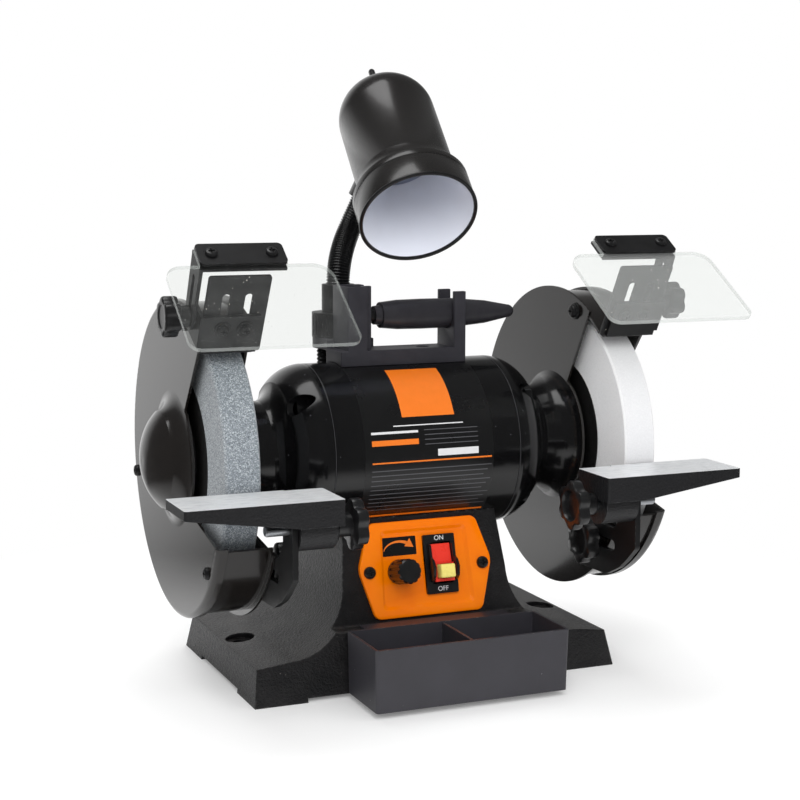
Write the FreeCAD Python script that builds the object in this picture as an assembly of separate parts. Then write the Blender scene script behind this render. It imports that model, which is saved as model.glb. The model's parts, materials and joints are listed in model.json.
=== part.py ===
import FreeCAD, Part
import math
import os

from FreeCAD import Rotation, Vector

# Sizes are in millimetres. X runs along the shaft, -Y faces the operator, Z is up from the bench.
# Pieces that come in pairs are drawn for the right-hand wheel and mirrored for the left.

# Wheel stack: an 8 inch wheel, 1 inch wide, on a 5/8 inch arbor.
SHAFT_HEIGHT = 167.0
WHEEL_RADIUS = 101.6
WHEEL_WIDTH = 25.4
WHEEL_CENTRE_X = 155.5
WHEEL_CHAMFER = 1.5
ARBOR_RADIUS = 7.9
ARBOR_CLEARANCE = 0.05
BLOTTER_RADIUS = 60.0
BLOTTER_THICKNESS = 0.6
FLANGE_RADIUS = 34.0
FLANGE_THICKNESS = 5.2
FLANGE_RELIEF = 1.2
NUT_ACROSS_FLATS = 24.0
NUT_LENGTH = 12.0
ARBOR_PAST_NUT = 4.0

# Motor.
BARREL_RADIUS = 65.0
BARREL_WALL = 3.5
BARREL_HALF = 74.0
STATOR_HALF = 35.0
AIR_GAP = 0.4
ROTOR_RADIUS = 32.0
STATOR_SLOTS = 12
SLOT_WIDTH = 6.0
SLOT_DEPTH = 13.0
WINDING_RADII = (38.0, 54.0)
WINDING_X = (STATOR_HALF, 54.0)
SHAFT_CORE_RADIUS = 11.0
JOURNAL_RADIUS = 8.5
JOURNAL_CLEARANCE = 0.03
BEARING_RADIUS = 20.0
BEARING_X = (117.5, 129.5)
RACE_GROOVE = (12.0, 16.0)
RACE_GROOVE_DEPTH = 1.0
NECK_RADIUS = 38.5
NECK_END_X = 134.0
NECK_RING_RADIUS = 41.0
NECK_RING_X = 124.0
NECK_GROOVE_WIDTH = 2.0
NECK_GROOVE_DEPTH = 2.0
SEAM_CHAMFER = 0.5
# Bell profile points: distance past the seam, then drop below the barrel's outside, its bore or the neck.
BELL_LAND = 3.0
BELL_SHOULDER = ((17.0, 4.8), (25.5, 12.8))
BELL_NECK_MID = (29.5, 21.6)
BELL_NECK_RUN = 38.4
BELL_HOLLOW = ((12.0, 2.7), (20.0, 9.5))
BELL_NECK_HOLLOW = ((25.0, -4.5), (30.0, 2.0), (36.0, 5.0))
BEARING_LIP = (4.0, 5.0)
BELL_SCREW_ANGLES = (45.0, 135.0, 225.0, 315.0)
BELL_POCKET_RADIUS = 7.5
BELL_POCKET_INSET = 8.5
BELL_POCKET_FLOOR = 3.0
BELL_BOSS_RADIUS = 9.5
BELL_BOSS_INSET = 9.5
BELL_BOSS_LENGTH = 18.0
BELL_SCREW_HEAD = (5.0, 4.0)
BELL_SCREW_SHANK = (2.5, 9.0)

# Wheel guard and its domed cover, pressed from sheet. Angles run from the front (-Y) up towards +Z.
SHEET = 2.0
GUARD_RIM_RADIUS = 118.0
GUARD_SKIRT_RADIUS = 114.0
GUARD_SKIRT_END_X = 173.5
GUARD_PRESS_DEPTH = 5.0
GUARD_PRESS_RADII = (44.0, 50.0)
GUARD_PLATE_TOP_ANGLE = 60.0
GUARD_PLATE_LOW_RIM = (-105.1, -53.6)
GUARD_PLATE_LOW_INNER = (-30.0, -42.6)
SKIRT_TOP_ANGLE = 50.5
SKIRT_LOW_ANGLE = -25.5
COVER_X = 174.5
COVER_RADIUS = 116.3
COVER_LIP_X = 168.0
COVER_CORNER = 4.0
COVER_TOP_ANGLE = 51.5
COVER_LOW_RIM = (-106.7, -46.4)
COVER_LOW_INNER = (-30.0, -29.4)
DOME_BASE_RADIUS = 50.0
DOME_NECK_RADIUS = 35.5
DOME_NECK_HEIGHT = 10.0
DOME_HEIGHT = 23.0
DOME_CROWN = (19.0, 22.0)
DOME_FLARE_OUTER = (0.36, 0.67)
DOME_FLARE_INNER = (0.4, 0.72)
TIP_FLAT = 1.0
COVER_SCREW_RADIUS = 107.5
COVER_SCREW_ANGLES = (-38.5, 70.0, 194.0)
COVER_SCREW_HEAD = (4.5, 2.8)
COVER_SCREW_SHANK = (2.0, 6.0)
COVER_TAB_HALF = 8.0

# Spark arrestor stack: a flat in front of the guard, leaning forward. Local y runs up it, local z out of it.
STACK_ORIGIN = (0.0, -73.0, 254.0)
STACK_LEAN = 119.6
STACK_X = (138.5, 178.5)
STACK_PLAY = 0.3
GUARD_TAB_X = (139.0, 172.5)
GUARD_TAB_Y = (-4.0, 27.0)
ARRESTOR_Y = (-1.0, 60.0)
ARRESTOR_SLOT_X = (148.5, 164.5)
ARRESTOR_SLOT_Y = (12.0, 46.0)
ARRESTOR_SLOT_WIDTH = 5.5
BRACKET_Y = (0.0, 29.5)
BRACKET_THICKNESS = 2.5
BRACKET_TAB_Y = 4.0
BRACKET_TAB_REACH = -22.0

# Eye shield, its strips, arm and knob. Local y runs up the shield, local z out of it.
SHIELD_ORIGIN = (0.0, -100.8, 311.5)
SHIELD_LEAN = 37.46
SHIELD_PIVOT = (-72.0, 277.0)
SHIELD_X = (92.5, 209.0)
SHIELD_DEPTH = 79.4
SHIELD_THICKNESS = 3.0
SHIELD_CORNERS = (8.0, 14.0, 12.0)
SHIELD_TAB_CORNER = 2.0
STRIP_X = (122.5, 184.0)
STRIP_Y = (-1.0, 20.0)
STRIP_THICKNESS = 2.0
ARM_X = (181.5, 184.0)
ARM_END_RADIUS = 9.0
ARM_SLOT_LENGTH = 30.0
STUD_RADIUS = 2.5
STUD_PLAY = 0.3
SHIELD_KNOB_X = (184.3, 192.0, 203.0)
SHIELD_KNOB_RADII = (7.75, 14.0)
SHIELD_STUD_INNER_X = 174.5
RIGHT_SHIELD_RAISED = 4.5

# Tool rest, its bracket and both clamp knobs.
REST_X = (100.0, 211.0)
REST_Y = (-150.7, -104.0)
REST_TOP = 158.5
REST_INNER_THICKNESS = 18.0
REST_OUTER_THICKNESS = 6.5
REST_CORNER = 2.0
REST_POCKET_X = (129.4, 206.0)
REST_POCKET_Y = (-146.0, -109.0)
REST_PLATE_THICKNESS = 6.0
REST_STEP = (128.0, 2.0)
REST_PIVOT = (-129.0, 136.5)
REST_LUG_X = (103.0, 129.3)
REST_LUG_RADIUS = 15.0
REST_STUD_RADIUS = 4.0
REST_STUD_END_X = 150.0
REST_KNOB_X = (80.5, 89.0, 99.7)
REST_KNOB_RADII = (8.0, 18.0)
REST_BRACKET_X = (129.6, 133.7)
CLAMP_STUD = (-80.0, 98.5)
CLAMP_STUD_END_X = 140.5
CLAMP_KNOB_X = (115.5, 125.5, 129.3)
CLAMP_SLOT_Y = (-106.0, -59.5)
KNOB_LOBES = 6
KNOB_SCALLOP = 0.42
KNOB_SCALLOP_OUT = 0.55
BRACKET_HEAD = 10.0
BRACKET_HEEL = 9.0
# Bracket edges below and above the slot: Y from the rest pivot, Z from the clamp stud, corner radius.
BRACKET_LOW_EDGE = ((3.0, -7.5, 8.0), (12.0, -14.5, 8.0), (31.0, -23.5, 8.0))
BRACKET_TOP_EDGE = ((20.0, 13.5, 8.0), (10.0, 25.0, 4.0))
BRACKET_HEEL_LOW = -24.5
BRACKET_FRONT_LOW = 4.0
BRACKET_HEEL_CORNER = 5.0

# Base casting: a front outline and a side outline crossed with each other.
FOOT_HALF_X = 144.0
FOOT_TOP_HALF_X = 140.0
FOOT_HEIGHT = 26.0
FLARE_RADIUS = 48.7
FLARE_CENTRE = (115.0, 77.4)
PEDESTAL_TOP_HALF_X = 61.0
PEDESTAL_TOP = 126.0
FRONT_LOW_Y = -86.7
FRONT_LEDGE_Z = 45.5
FRONT_LEDGE_Y = (-74.5, -64.3)
BACK_Y = (88.0, 81.0, 62.0, 44.0)
BACK_KNEE_Z = 52.0
BACK_CORNERS = (4.0, 20.0)
FRONT_CORNER = 2.0
FOOT_PAD_WIDTH = 40.0
FOOT_PAD_Y = 45.0
FOOT_RELIEF = 3.0
BASE_WALL = 7.0
CORE_TOP = 88.0
BENCH_HOLE_INSET = 17.0
BENCH_HOLE_RADIUS = 5.5
BENCH_BOSS_RADIUS = 13.0
SPOT_FACE_RADIUS = 11.0
SPOT_FACE_Z = 24.0
COVER_PLATE_HALF = (60.0, 66.0)
COVER_PLATE_THICKNESS = 2.0
COVER_PLATE_CORNER = 6.0
GLAND_AT = (32.0, 16.0)
GLAND_Y = (62.0, 84.5, 88.0, 97.0)
GLAND_RADII = (7.5, 10.5, 4.0)

# Control panel on the sloping front. Local y runs up the panel, local z out of it.
PANEL_LEAN = 13.7
PANEL_Z = 48.0
PANEL_THICKNESS = 3.2
PANEL_HALF = (43.2, 53.9, 43.3)
PANEL_HEIGHTS = (37.5, 71.0)
PANEL_CORNER = 6.0
PANEL_EDGE = 1.0
PANEL_RECESS_HALF = (36.5, 34.0)
PANEL_RECESS_Y = (7.0, 64.0)
PANEL_RECESS_DEPTH = 2.0
PANEL_RECESS_CORNER = 3.0
PANEL_OPENING_X = (-36.0, 27.0)
PANEL_OPENING_Y = (9.0, 61.0)
SPEED_AT = (-21.5, 33.7)
SPEED_KNOB_RADIUS = 9.2
SPEED_KNOB_LENGTH = 21.0
SPEED_KNOB_PLAY = 0.4
SPEED_KNOB_EDGE = 1.2
SPEED_KNOB_SKIRT = 3.0
SPEED_KNOB_CAP = 5.0
SPEED_FLUTES = 12
SPEED_FLUTE_RADIUS = 1.3
SPEED_FLUTE_OUT = 0.5
SPEED_SHAFT_RADIUS = 3.0
SPEED_SHAFT_CLEARANCE = 0.05
SPEED_SHAFT_END_PLAY = 0.5
SPEED_BODY = (8.2, 12.0)
BOARD_X = (-34.0, -5.0)
BOARD_Y = (11.0, 59.0)
BOARD_THICKNESS = 1.6
BEZEL_X = (-1.0, 24.5)
BEZEL_Y = (15.0, 59.0)
BEZEL_CORNER = 5.0
BEZEL_PROUD = 2.4
SWITCH_WALL = 2.5
SWITCH_DEPTH = 22.0
SWITCH_POCKET_X = (4.3, 20.7)
SWITCH_POCKET_Y = (22.3, 53.3)
SWITCH_POCKET_DEPTH = 8.0
PADDLE_PLAY = 0.5
PADDLE_END_PLAY = 1.5
PADDLE_ROOT = -3.0
PADDLE_KEEL = 3.0
PADDLE_TOP_SINK = 0.6
PADDLE_MID_PROUD = 1.0
PADDLE_LIP_PROUD = 4.5
PADDLE_LOW_PROUD = 4.0
PADDLE_PIVOT_Y = 38.0
PADDLE_KEY_SLOT_Y = (26.0, 36.8)
KEY_X = (6.3, 18.7)
KEY_OUT = 15.0
KEY_SLOT_FLOOR = 2.0
KEY_PLAY = 0.3

# Tray hung in front of the base.
TRAY_HALF_X = 75.0
TRAY_Y = (-142.5, -87.0)
TRAY_Z = (4.5, 49.5)
TRAY_WALL = 2.0
TRAY_DRAFT = 1.0
TRAY_CORNER = 2.6
TRAY_DIVIDER_DROP = 1.0
TRAY_LIP_HALF_X = 58.0
TRAY_LIP_Y = -69.5
TRAY_LIP_Z = (45.8, 47.6)

# Dresser and its holder on top of the barrel.
HOLDER_HALF_X = 51.0
HOLDER_HALF_Y = 16.0
HOLDER_RISE = 9.5
POST_X = (-45.5, -30.0, -24.0)
POST_SETBACK_Y = -9.0
POST_TOP = 289.5
POST_WALL = 2.5
POST_FLOOR = 248.0
CLIP_X = (41.6, 51.0)
CLIP_TOP = 284.0
CLIP_INNER_Y = 11.7
HOLDER_SCREW_X = 22.0
HOLDER_SCREW_RADII = (2.6, 5.0)
HOLDER_SCREW_SINK = 4.0
DRESSER_Z = 266.6
GRIP_COLLAR = ((-19.0, 7.0), (-13.8, 7.6))
GRIP_SWELL = ((-13.8, 9.8), (0.0, 11.2), (20.0, 11.5), (46.0, 11.3), (74.0, 8.8), (94.0, 5.0))
GRIP_TIP_X = 99.0
DRESSER_NECK_RADIUS = 5.0
DRESSER_NECK_PLAY = 0.5
DRESSER_STAR_RADIUS = 11.0
DRESSER_STARS_X = (-41.5, -33.5)
DRESSER_STAR_TEETH = 10
DRESSER_STAR_ROOT = 0.8

# Lamp: lug, nut, sleeve, ribbed neck, wire conduit and shade.
LAMP_AT = (-33.0, 37.0)
LUG_RADIUS = 20.0
LUG_Z = (239.5, 248.0)
LAMP_NUT_RADIUS = 20.4
LAMP_NUT_TOP = 267.0
LAMP_NUT_GROOVES = 24
LAMP_NUT_GROOVE_RADIUS = 0.8
LAMP_NUT_BAND = 1.5
SLEEVE_RADIUS = 12.7
SLEEVE_TOP = 288.4
GOOSE_RADIUS = 9.2
GOOSE_ROOT_RADIUS = 8.3
GOOSE_BORE = 5.5
GOOSE_RIBS = 26
GOOSE_STRAIGHT = 18.0
GOOSE_BEND_REACH = 0.36
GOOSE_END_BAND = 1.0
GOOSE_BORE_STEPS = 16
GOOSE_END = (-9.5, 43.8, 352.9)
GOOSE_END_DIRECTION = (0.351, -0.251, 0.902)
CONDUIT_AT = (-46.3, 37.0)
CONDUIT_RADIUS = 4.2
CONDUIT_ROOT_RADIUS = 3.6
CONDUIT_WALL = 1.0
CONDUIT_END_BAND = 0.5
CONDUIT_RIBS = 8
CONDUIT_Z = (217.0, 242.0)
SHADE_RIM_CENTRE = (2.7, -35.7, 340.7)
SHADE_AXIS = (0.075, 0.734, 0.675)
SHADE_RIM_RADIUS = 44.25
SHADE_RIM_LENGTH = 25.0
SHADE_RADIUS = 37.5
SHADE_SHOULDER = 33.0
SHADE_BODY_END = 112.0
SHADE_LENGTH = 160.0
SHADE_WALL = 1.6
SHADE_BOSS_RADIUS = 12.2
SHADE_BOSS_AT = 90.0
SOCKET_RADII = (17.0, 13.5)
SOCKET_L = (92.0, 150.0)
SOCKET_FLOOR = 12.0
SOCKET_STEM_SHARE = 0.4
SOCKET_STEM_PLAY = 0.6
LAMP_KNOB_RADIUS = 4.5
LAMP_KNOB_L = (160.3, 168.0)

os.makedirs("parts", exist_ok=True)

X_AXIS = Vector(1, 0, 0)
Y_AXIS = Vector(0, 1, 0)
Z_AXIS = Vector(0, 0, 1)
ORIGIN = Vector(0, 0, 0)
SHAFT_LINE = Vector(0, 0, SHAFT_HEIGHT)
FAR = 300.0
# How far a cutting tool or a fused piece runs past the face it meets.
OVERLAP = 1.0


def save(node, shape):
    shape.removeSplitter().exportStep("parts/" + node + ".step")


def save_pair(name, shape):
    save("right_" + name, shape)
    save("left_" + name, shape.mirror(ORIGIN, X_AXIS))


def save_group(node, shapes):
    Part.makeCompound(shapes).exportStep("parts/" + node + ".step")


def both_sides(shape):
    return [shape, shape.mirror(ORIGIN, X_AXIS)]


def block(x, y, z):
    corner = Vector(x[0], y[0], z[0])
    return Part.makeBox(x[1] - x[0], y[1] - y[0], z[1] - z[0], corner)


def rod(radius, start, end):
    return Part.makeCylinder(radius, (end - start).Length, start, end - start)


def rod_x(radius, x, y, z):
    return Part.makeCylinder(radius, x[1] - x[0], Vector(x[0], y, z), X_AXIS)


def rod_z(radius, x, y, z):
    return Part.makeCylinder(radius, z[1] - z[0], Vector(x, y, z[0]), Z_AXIS)


def rounded(corners):
    """Closed outline in the XY plane; each corner is (x, y, radius)."""
    count = len(corners)
    points = [Vector(corner[0], corner[1], 0) for corner in corners]
    stretches = []
    for index, corner in enumerate(corners):
        here = points[index]
        back = (points[index - 1] - here).normalize()
        ahead = (points[(index + 1) % count] - here).normalize()
        radius = corner[2]
        if radius == 0:
            stretches.append((here, here, here))
            continue
        half = back.getAngle(ahead) / 2
        run = radius / math.tan(half)
        middle = here + (back + ahead).normalize() * (radius / math.sin(half) - radius)
        stretches.append((here + back * run, middle, here + ahead * run))
    edges = []
    for index, (start, middle, end) in enumerate(stretches):
        if (end - start).Length > 0:
            edges.append(Part.Arc(start, middle, end).toShape())
        following = stretches[(index + 1) % count][0]
        if (following - end).Length > 1e-6:
            edges.append(Part.makeLine(end, following))
    return edges


def sharp(points):
    return rounded([(point[0], point[1], 0) for point in points])


def prism(edges, low, high):
    face = Part.Face(Part.Wire(edges))
    face.translate(Vector(0, 0, low))
    return face.extrude(Vector(0, 0, high - low))


def side_prism(edges, x):
    """Outline drawn in (Y, Z), extruded along X."""
    return prism(edges, x[0], x[1]).rotated(ORIGIN, Vector(1, 1, 1), 120)


def front_prism(edges, y):
    """Outline drawn in (X, Z), extruded along Y."""
    return prism(edges, -y[1], -y[0]).rotated(ORIGIN, X_AXIS, 90)


def slot_outline(start, end, width):
    """Round-ended slot in the XY plane between two centres."""
    along = Vector(end[0] - start[0], end[1] - start[1], 0).normalize()
    across = Vector(-along.y, along.x, 0) * (width / 2)
    first = Vector(start[0], start[1], 0)
    last = Vector(end[0], end[1], 0)
    tip = along * (width / 2)
    return [
        Part.makeLine(first + across, last + across),
        Part.Arc(last + across, last + tip, last - across).toShape(),
        Part.makeLine(last - across, first - across),
        Part.Arc(first - across, first - tip, first + across).toShape(),
    ]


def path(start, steps):
    """Open run of edges; a step is an end point, or a (through, end) pair for an arc."""
    edges = []
    here = Vector(start[0], start[1], 0)
    for step in steps:
        if isinstance(step[0], tuple):
            through = Vector(step[0][0], step[0][1], 0)
            there = Vector(step[1][0], step[1][1], 0)
            edges.append(Part.Arc(here, through, there).toShape())
        else:
            there = Vector(step[0], step[1], 0)
            edges.append(Part.makeLine(here, there))
        here = there
    return edges


def turned(edges):
    """Outline drawn as (x, radius), turned about the X axis."""
    return Part.Face(Part.Wire(edges)).revolve(ORIGIN, X_AXIS, 360)


def on_shaft(shape):
    return shape.translated(SHAFT_LINE)


def ring(outer, inner, x):
    tube = rod_x(outer, x, 0, 0).cut(rod_x(inner, x, 0, 0))
    return on_shaft(tube)


def placed(shape, origin, lean):
    """Takes a local frame leaning about X to its place."""
    return shape.rotated(ORIGIN, X_AXIS, lean).translated(Vector(*origin))


def stack_place(shape):
    return placed(shape, STACK_ORIGIN, STACK_LEAN)


def shield_place(shape):
    return placed(shape, SHIELD_ORIGIN, SHIELD_LEAN)


def lobed_knob(hub_x, head_x, hub_radius, head_radius):
    """Clamp knob about X: a plain hub and a head with scallops round it."""
    hub = rod_x(hub_radius, hub_x, 0, 0)
    head = rod_x(head_radius, head_x, 0, 0)
    scallop_radius = head_radius * KNOB_SCALLOP
    for index in range(KNOB_LOBES):
        angle = 2 * math.pi * index / KNOB_LOBES
        reach = head_radius + scallop_radius * KNOB_SCALLOP_OUT
        tool = rod_x(scallop_radius, head_x, reach * math.cos(angle), reach * math.sin(angle))
        head = head.cut(tool)
    return hub.fuse(head)


def polar(radius, angle):
    """Point (Y, Z) about the shaft, the angle running from the front upwards."""
    turn = math.radians(angle)
    return (-radius * math.cos(turn), radius * math.sin(turn))


def front_opening(top_angle, low_rim, low_inner, keep_radius, x):
    """Wedge taken out of the front of a guard, leaving a disc about the shaft."""
    top = polar(FAR, top_angle)
    slope = (low_rim[1] - low_inner[1]) / (low_rim[0] - low_inner[0])
    low = (-FAR, low_rim[1] + slope * (-FAR - low_rim[0]))
    wedge = side_prism(sharp([(0, 0), top, (-FAR, top[1]), low, low_inner]), x)
    return on_shaft(wedge.cut(rod_x(keep_radius, x, 0, 0)))


def ribbed(centres, tangents, radii):
    """Ruled loft through circles that share a steady X direction."""
    wires = []
    for centre, tangent, radius in zip(centres, tangents, radii):
        across = (X_AXIS - tangent * tangent.dot(X_AXIS)).normalize()
        circle = Part.makeCircle(radius)
        circle.Placement = FreeCAD.Placement(centre, Rotation(across, tangent.cross(across), tangent, "ZXY"))
        wires.append(Part.Wire(circle))
    return Part.makeLoft(wires, True, True)


wheel_inner_x = WHEEL_CENTRE_X - WHEEL_WIDTH / 2
wheel_outer_x = WHEEL_CENTRE_X + WHEEL_WIDTH / 2
inner_flange_x = (wheel_inner_x - BLOTTER_THICKNESS - FLANGE_THICKNESS, wheel_inner_x - BLOTTER_THICKNESS)
outer_flange_x = (wheel_outer_x + BLOTTER_THICKNESS, wheel_outer_x + BLOTTER_THICKNESS + FLANGE_THICKNESS)
nut_x = (outer_flange_x[1], outer_flange_x[1] + NUT_LENGTH)
arbor_end_x = nut_x[1] + ARBOR_PAST_NUT
arbor_hole = ARBOR_RADIUS + ARBOR_CLEARANCE
stator_radius = BARREL_RADIUS - BARREL_WALL
holder_top = SHAFT_HEIGHT + BARREL_RADIUS + HOLDER_RISE


def wheel_stack():
    chamfer = WHEEL_CHAMFER
    wheel = turned(sharp([
        (wheel_inner_x, arbor_hole),
        (wheel_inner_x, WHEEL_RADIUS - chamfer),
        (wheel_inner_x + chamfer, WHEEL_RADIUS),
        (wheel_outer_x - chamfer, WHEEL_RADIUS),
        (wheel_outer_x, WHEEL_RADIUS - chamfer),
        (wheel_outer_x, arbor_hole),
    ]))
    save_pair("wheel", on_shaft(wheel))
    inner_blotter = ring(BLOTTER_RADIUS, arbor_hole, (inner_flange_x[1], wheel_inner_x))
    outer_blotter = ring(BLOTTER_RADIUS, arbor_hole, (wheel_outer_x, outer_flange_x[0]))
    save_group("blotters", both_sides(inner_blotter) + both_sides(outer_blotter))
    relief_radius = FLANGE_RADIUS * 0.6
    inner_relief = ring(relief_radius, arbor_hole, (inner_flange_x[1] - FLANGE_RELIEF, inner_flange_x[1]))
    outer_relief = ring(relief_radius, arbor_hole, (outer_flange_x[0], outer_flange_x[0] + FLANGE_RELIEF))
    inner_flange = ring(FLANGE_RADIUS, arbor_hole, inner_flange_x).cut(inner_relief)
    outer_flange = ring(FLANGE_RADIUS, arbor_hole, outer_flange_x).cut(outer_relief)
    save_group("inner_flanges", both_sides(inner_flange))
    save_group("outer_flanges", both_sides(outer_flange))
    corner = NUT_ACROSS_FLATS / 2 / math.cos(math.pi / 6)
    hexagon = [(corner * math.cos(math.pi * k / 3), corner * math.sin(math.pi * k / 3)) for k in range(6)]
    nut = side_prism(sharp(hexagon), nut_x).cut(rod_x(arbor_hole, nut_x, 0, 0))
    save_group("arbor_nuts", both_sides(on_shaft(nut)))


def motor():
    edge = SEAM_CHAMFER
    barrel = on_shaft(turned(sharp([
        (-BARREL_HALF, stator_radius),
        (-BARREL_HALF, BARREL_RADIUS - edge),
        (-BARREL_HALF + edge, BARREL_RADIUS),
        (BARREL_HALF - edge, BARREL_RADIUS),
        (BARREL_HALF, BARREL_RADIUS - edge),
        (BARREL_HALF, stator_radius),
    ])))
    above = (SHAFT_HEIGHT, SHAFT_HEIGHT + FAR)
    conduit_hole = rod_z(CONDUIT_RADIUS + STUD_PLAY, CONDUIT_AT[0], CONDUIT_AT[1], above)
    save("motor_barrel", barrel.cut(conduit_hole))

    stator = ring(stator_radius, ROTOR_RADIUS + AIR_GAP, (-STATOR_HALF, STATOR_HALF))
    for index in range(STATOR_SLOTS):
        slot_top = ROTOR_RADIUS + SLOT_DEPTH
        slot_y = (-SLOT_WIDTH / 2, SLOT_WIDTH / 2)
        slot = block((-STATOR_HALF, STATOR_HALF), slot_y, (ROTOR_RADIUS, slot_top))
        stator = stator.cut(on_shaft(slot.rotated(ORIGIN, X_AXIS, 360.0 * index / STATOR_SLOTS)))
    save("stator_core", stator)
    winding = ring(WINDING_RADII[1], WINDING_RADII[0], WINDING_X)
    save_group("stator_winding", both_sides(winding))
    rotor = ring(ROTOR_RADIUS, SHAFT_CORE_RADIUS, (-STATOR_HALF, STATOR_HALF))
    save("rotor_core", rotor)

    journal_x = inner_flange_x[0]
    shaft = rod_x(SHAFT_CORE_RADIUS, (-WINDING_X[1], WINDING_X[1]), 0, 0)
    shaft = shaft.fuse(rod_x(JOURNAL_RADIUS, (-journal_x, journal_x), 0, 0))
    shaft = shaft.fuse(rod_x(ARBOR_RADIUS, (-arbor_end_x, arbor_end_x), 0, 0))
    save("shaft", on_shaft(shaft))

    bearing = ring(BEARING_RADIUS, JOURNAL_RADIUS + JOURNAL_CLEARANCE, BEARING_X)
    low, high = BEARING_X
    bearing = bearing.cut(ring(RACE_GROOVE[1], RACE_GROOVE[0], (low, low + RACE_GROOVE_DEPTH)))
    bearing = bearing.cut(ring(RACE_GROOVE[1], RACE_GROOVE[0], (high - RACE_GROOVE_DEPTH, high)))
    save_group("bearings", both_sides(bearing))


def bell_outer():
    """Outside of an end bell: a convex shoulder, a concave neck, a groove and the locating ring."""
    seam = BARREL_HALF
    groove_x = NECK_RING_X - NECK_GROOVE_WIDTH
    groove_radius = NECK_RADIUS - NECK_GROOVE_DEPTH
    shoulder_mid, shoulder_end = BELL_SHOULDER

    def past_seam(run, drop):
        return (seam + run, BARREL_RADIUS - drop)

    return path((seam, 0), [
        past_seam(0, SEAM_CHAMFER),
        past_seam(SEAM_CHAMFER, 0),
        past_seam(BELL_LAND, 0),
        (past_seam(*shoulder_mid), past_seam(*shoulder_end)),
        (past_seam(*BELL_NECK_MID), (seam + BELL_NECK_RUN, NECK_RADIUS)),
        (groove_x, NECK_RADIUS),
        (groove_x, groove_radius),
        (NECK_RING_X, groove_radius),
        (NECK_RING_X, NECK_RING_RADIUS),
        (NECK_END_X, NECK_RING_RADIUS),
        (NECK_END_X, 0),
        (seam, 0),
    ])


def end_bells():
    seam = BARREL_HALF
    start = seam - OVERLAP
    lip, lip_depth = BEARING_LIP
    hollow_end = BEARING_X[0] - lip
    hollow_points = [(seam + run, stator_radius - drop) for run, drop in BELL_HOLLOW]
    hollow_points += [(seam + run, NECK_RADIUS - drop) for run, drop in BELL_NECK_HOLLOW]
    hollow = turned(sharp(
        [(start, 0), (start, stator_radius), (seam, stator_radius)]
        + hollow_points
        + [(hollow_end, hollow_points[-1][1]), (hollow_end, 0)]))
    for angle in BELL_SCREW_ANGLES:
        at = polar(BARREL_RADIUS - BELL_BOSS_INSET, angle)
        hollow = hollow.cut(rod_x(BELL_BOSS_RADIUS, (seam, seam + BELL_BOSS_LENGTH), at[0], at[1]))
    bell = turned(bell_outer()).cut(hollow)
    bell = bell.cut(rod_x(BEARING_RADIUS - lip_depth, (start, BEARING_X[0]), 0, 0))
    bell = bell.cut(rod_x(BEARING_RADIUS, (BEARING_X[0], NECK_END_X + OVERLAP), 0, 0))
    floor = seam + BELL_POCKET_FLOOR
    screws = []
    for angle in BELL_SCREW_ANGLES:
        at = polar(BARREL_RADIUS - BELL_POCKET_INSET, angle)
        bell = bell.cut(rod_x(BELL_POCKET_RADIUS, (floor, NECK_END_X), at[0], at[1]))
        bell = bell.cut(rod_x(BELL_SCREW_SHANK[0], (start, floor), at[0], at[1]))
        head = rod_x(BELL_SCREW_HEAD[0], (floor, floor + BELL_SCREW_HEAD[1]), at[0], at[1])
        shank = rod_x(BELL_SCREW_SHANK[0], (floor - BELL_SCREW_SHANK[1], floor), at[0], at[1])
        screws += both_sides(on_shaft(head.fuse(shank)))
    bell = on_shaft(bell)
    save("right_end_bell", bell)
    save("left_end_bell", bell.mirror(ORIGIN, X_AXIS))
    save_group("end_bell_screws", screws)


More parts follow.
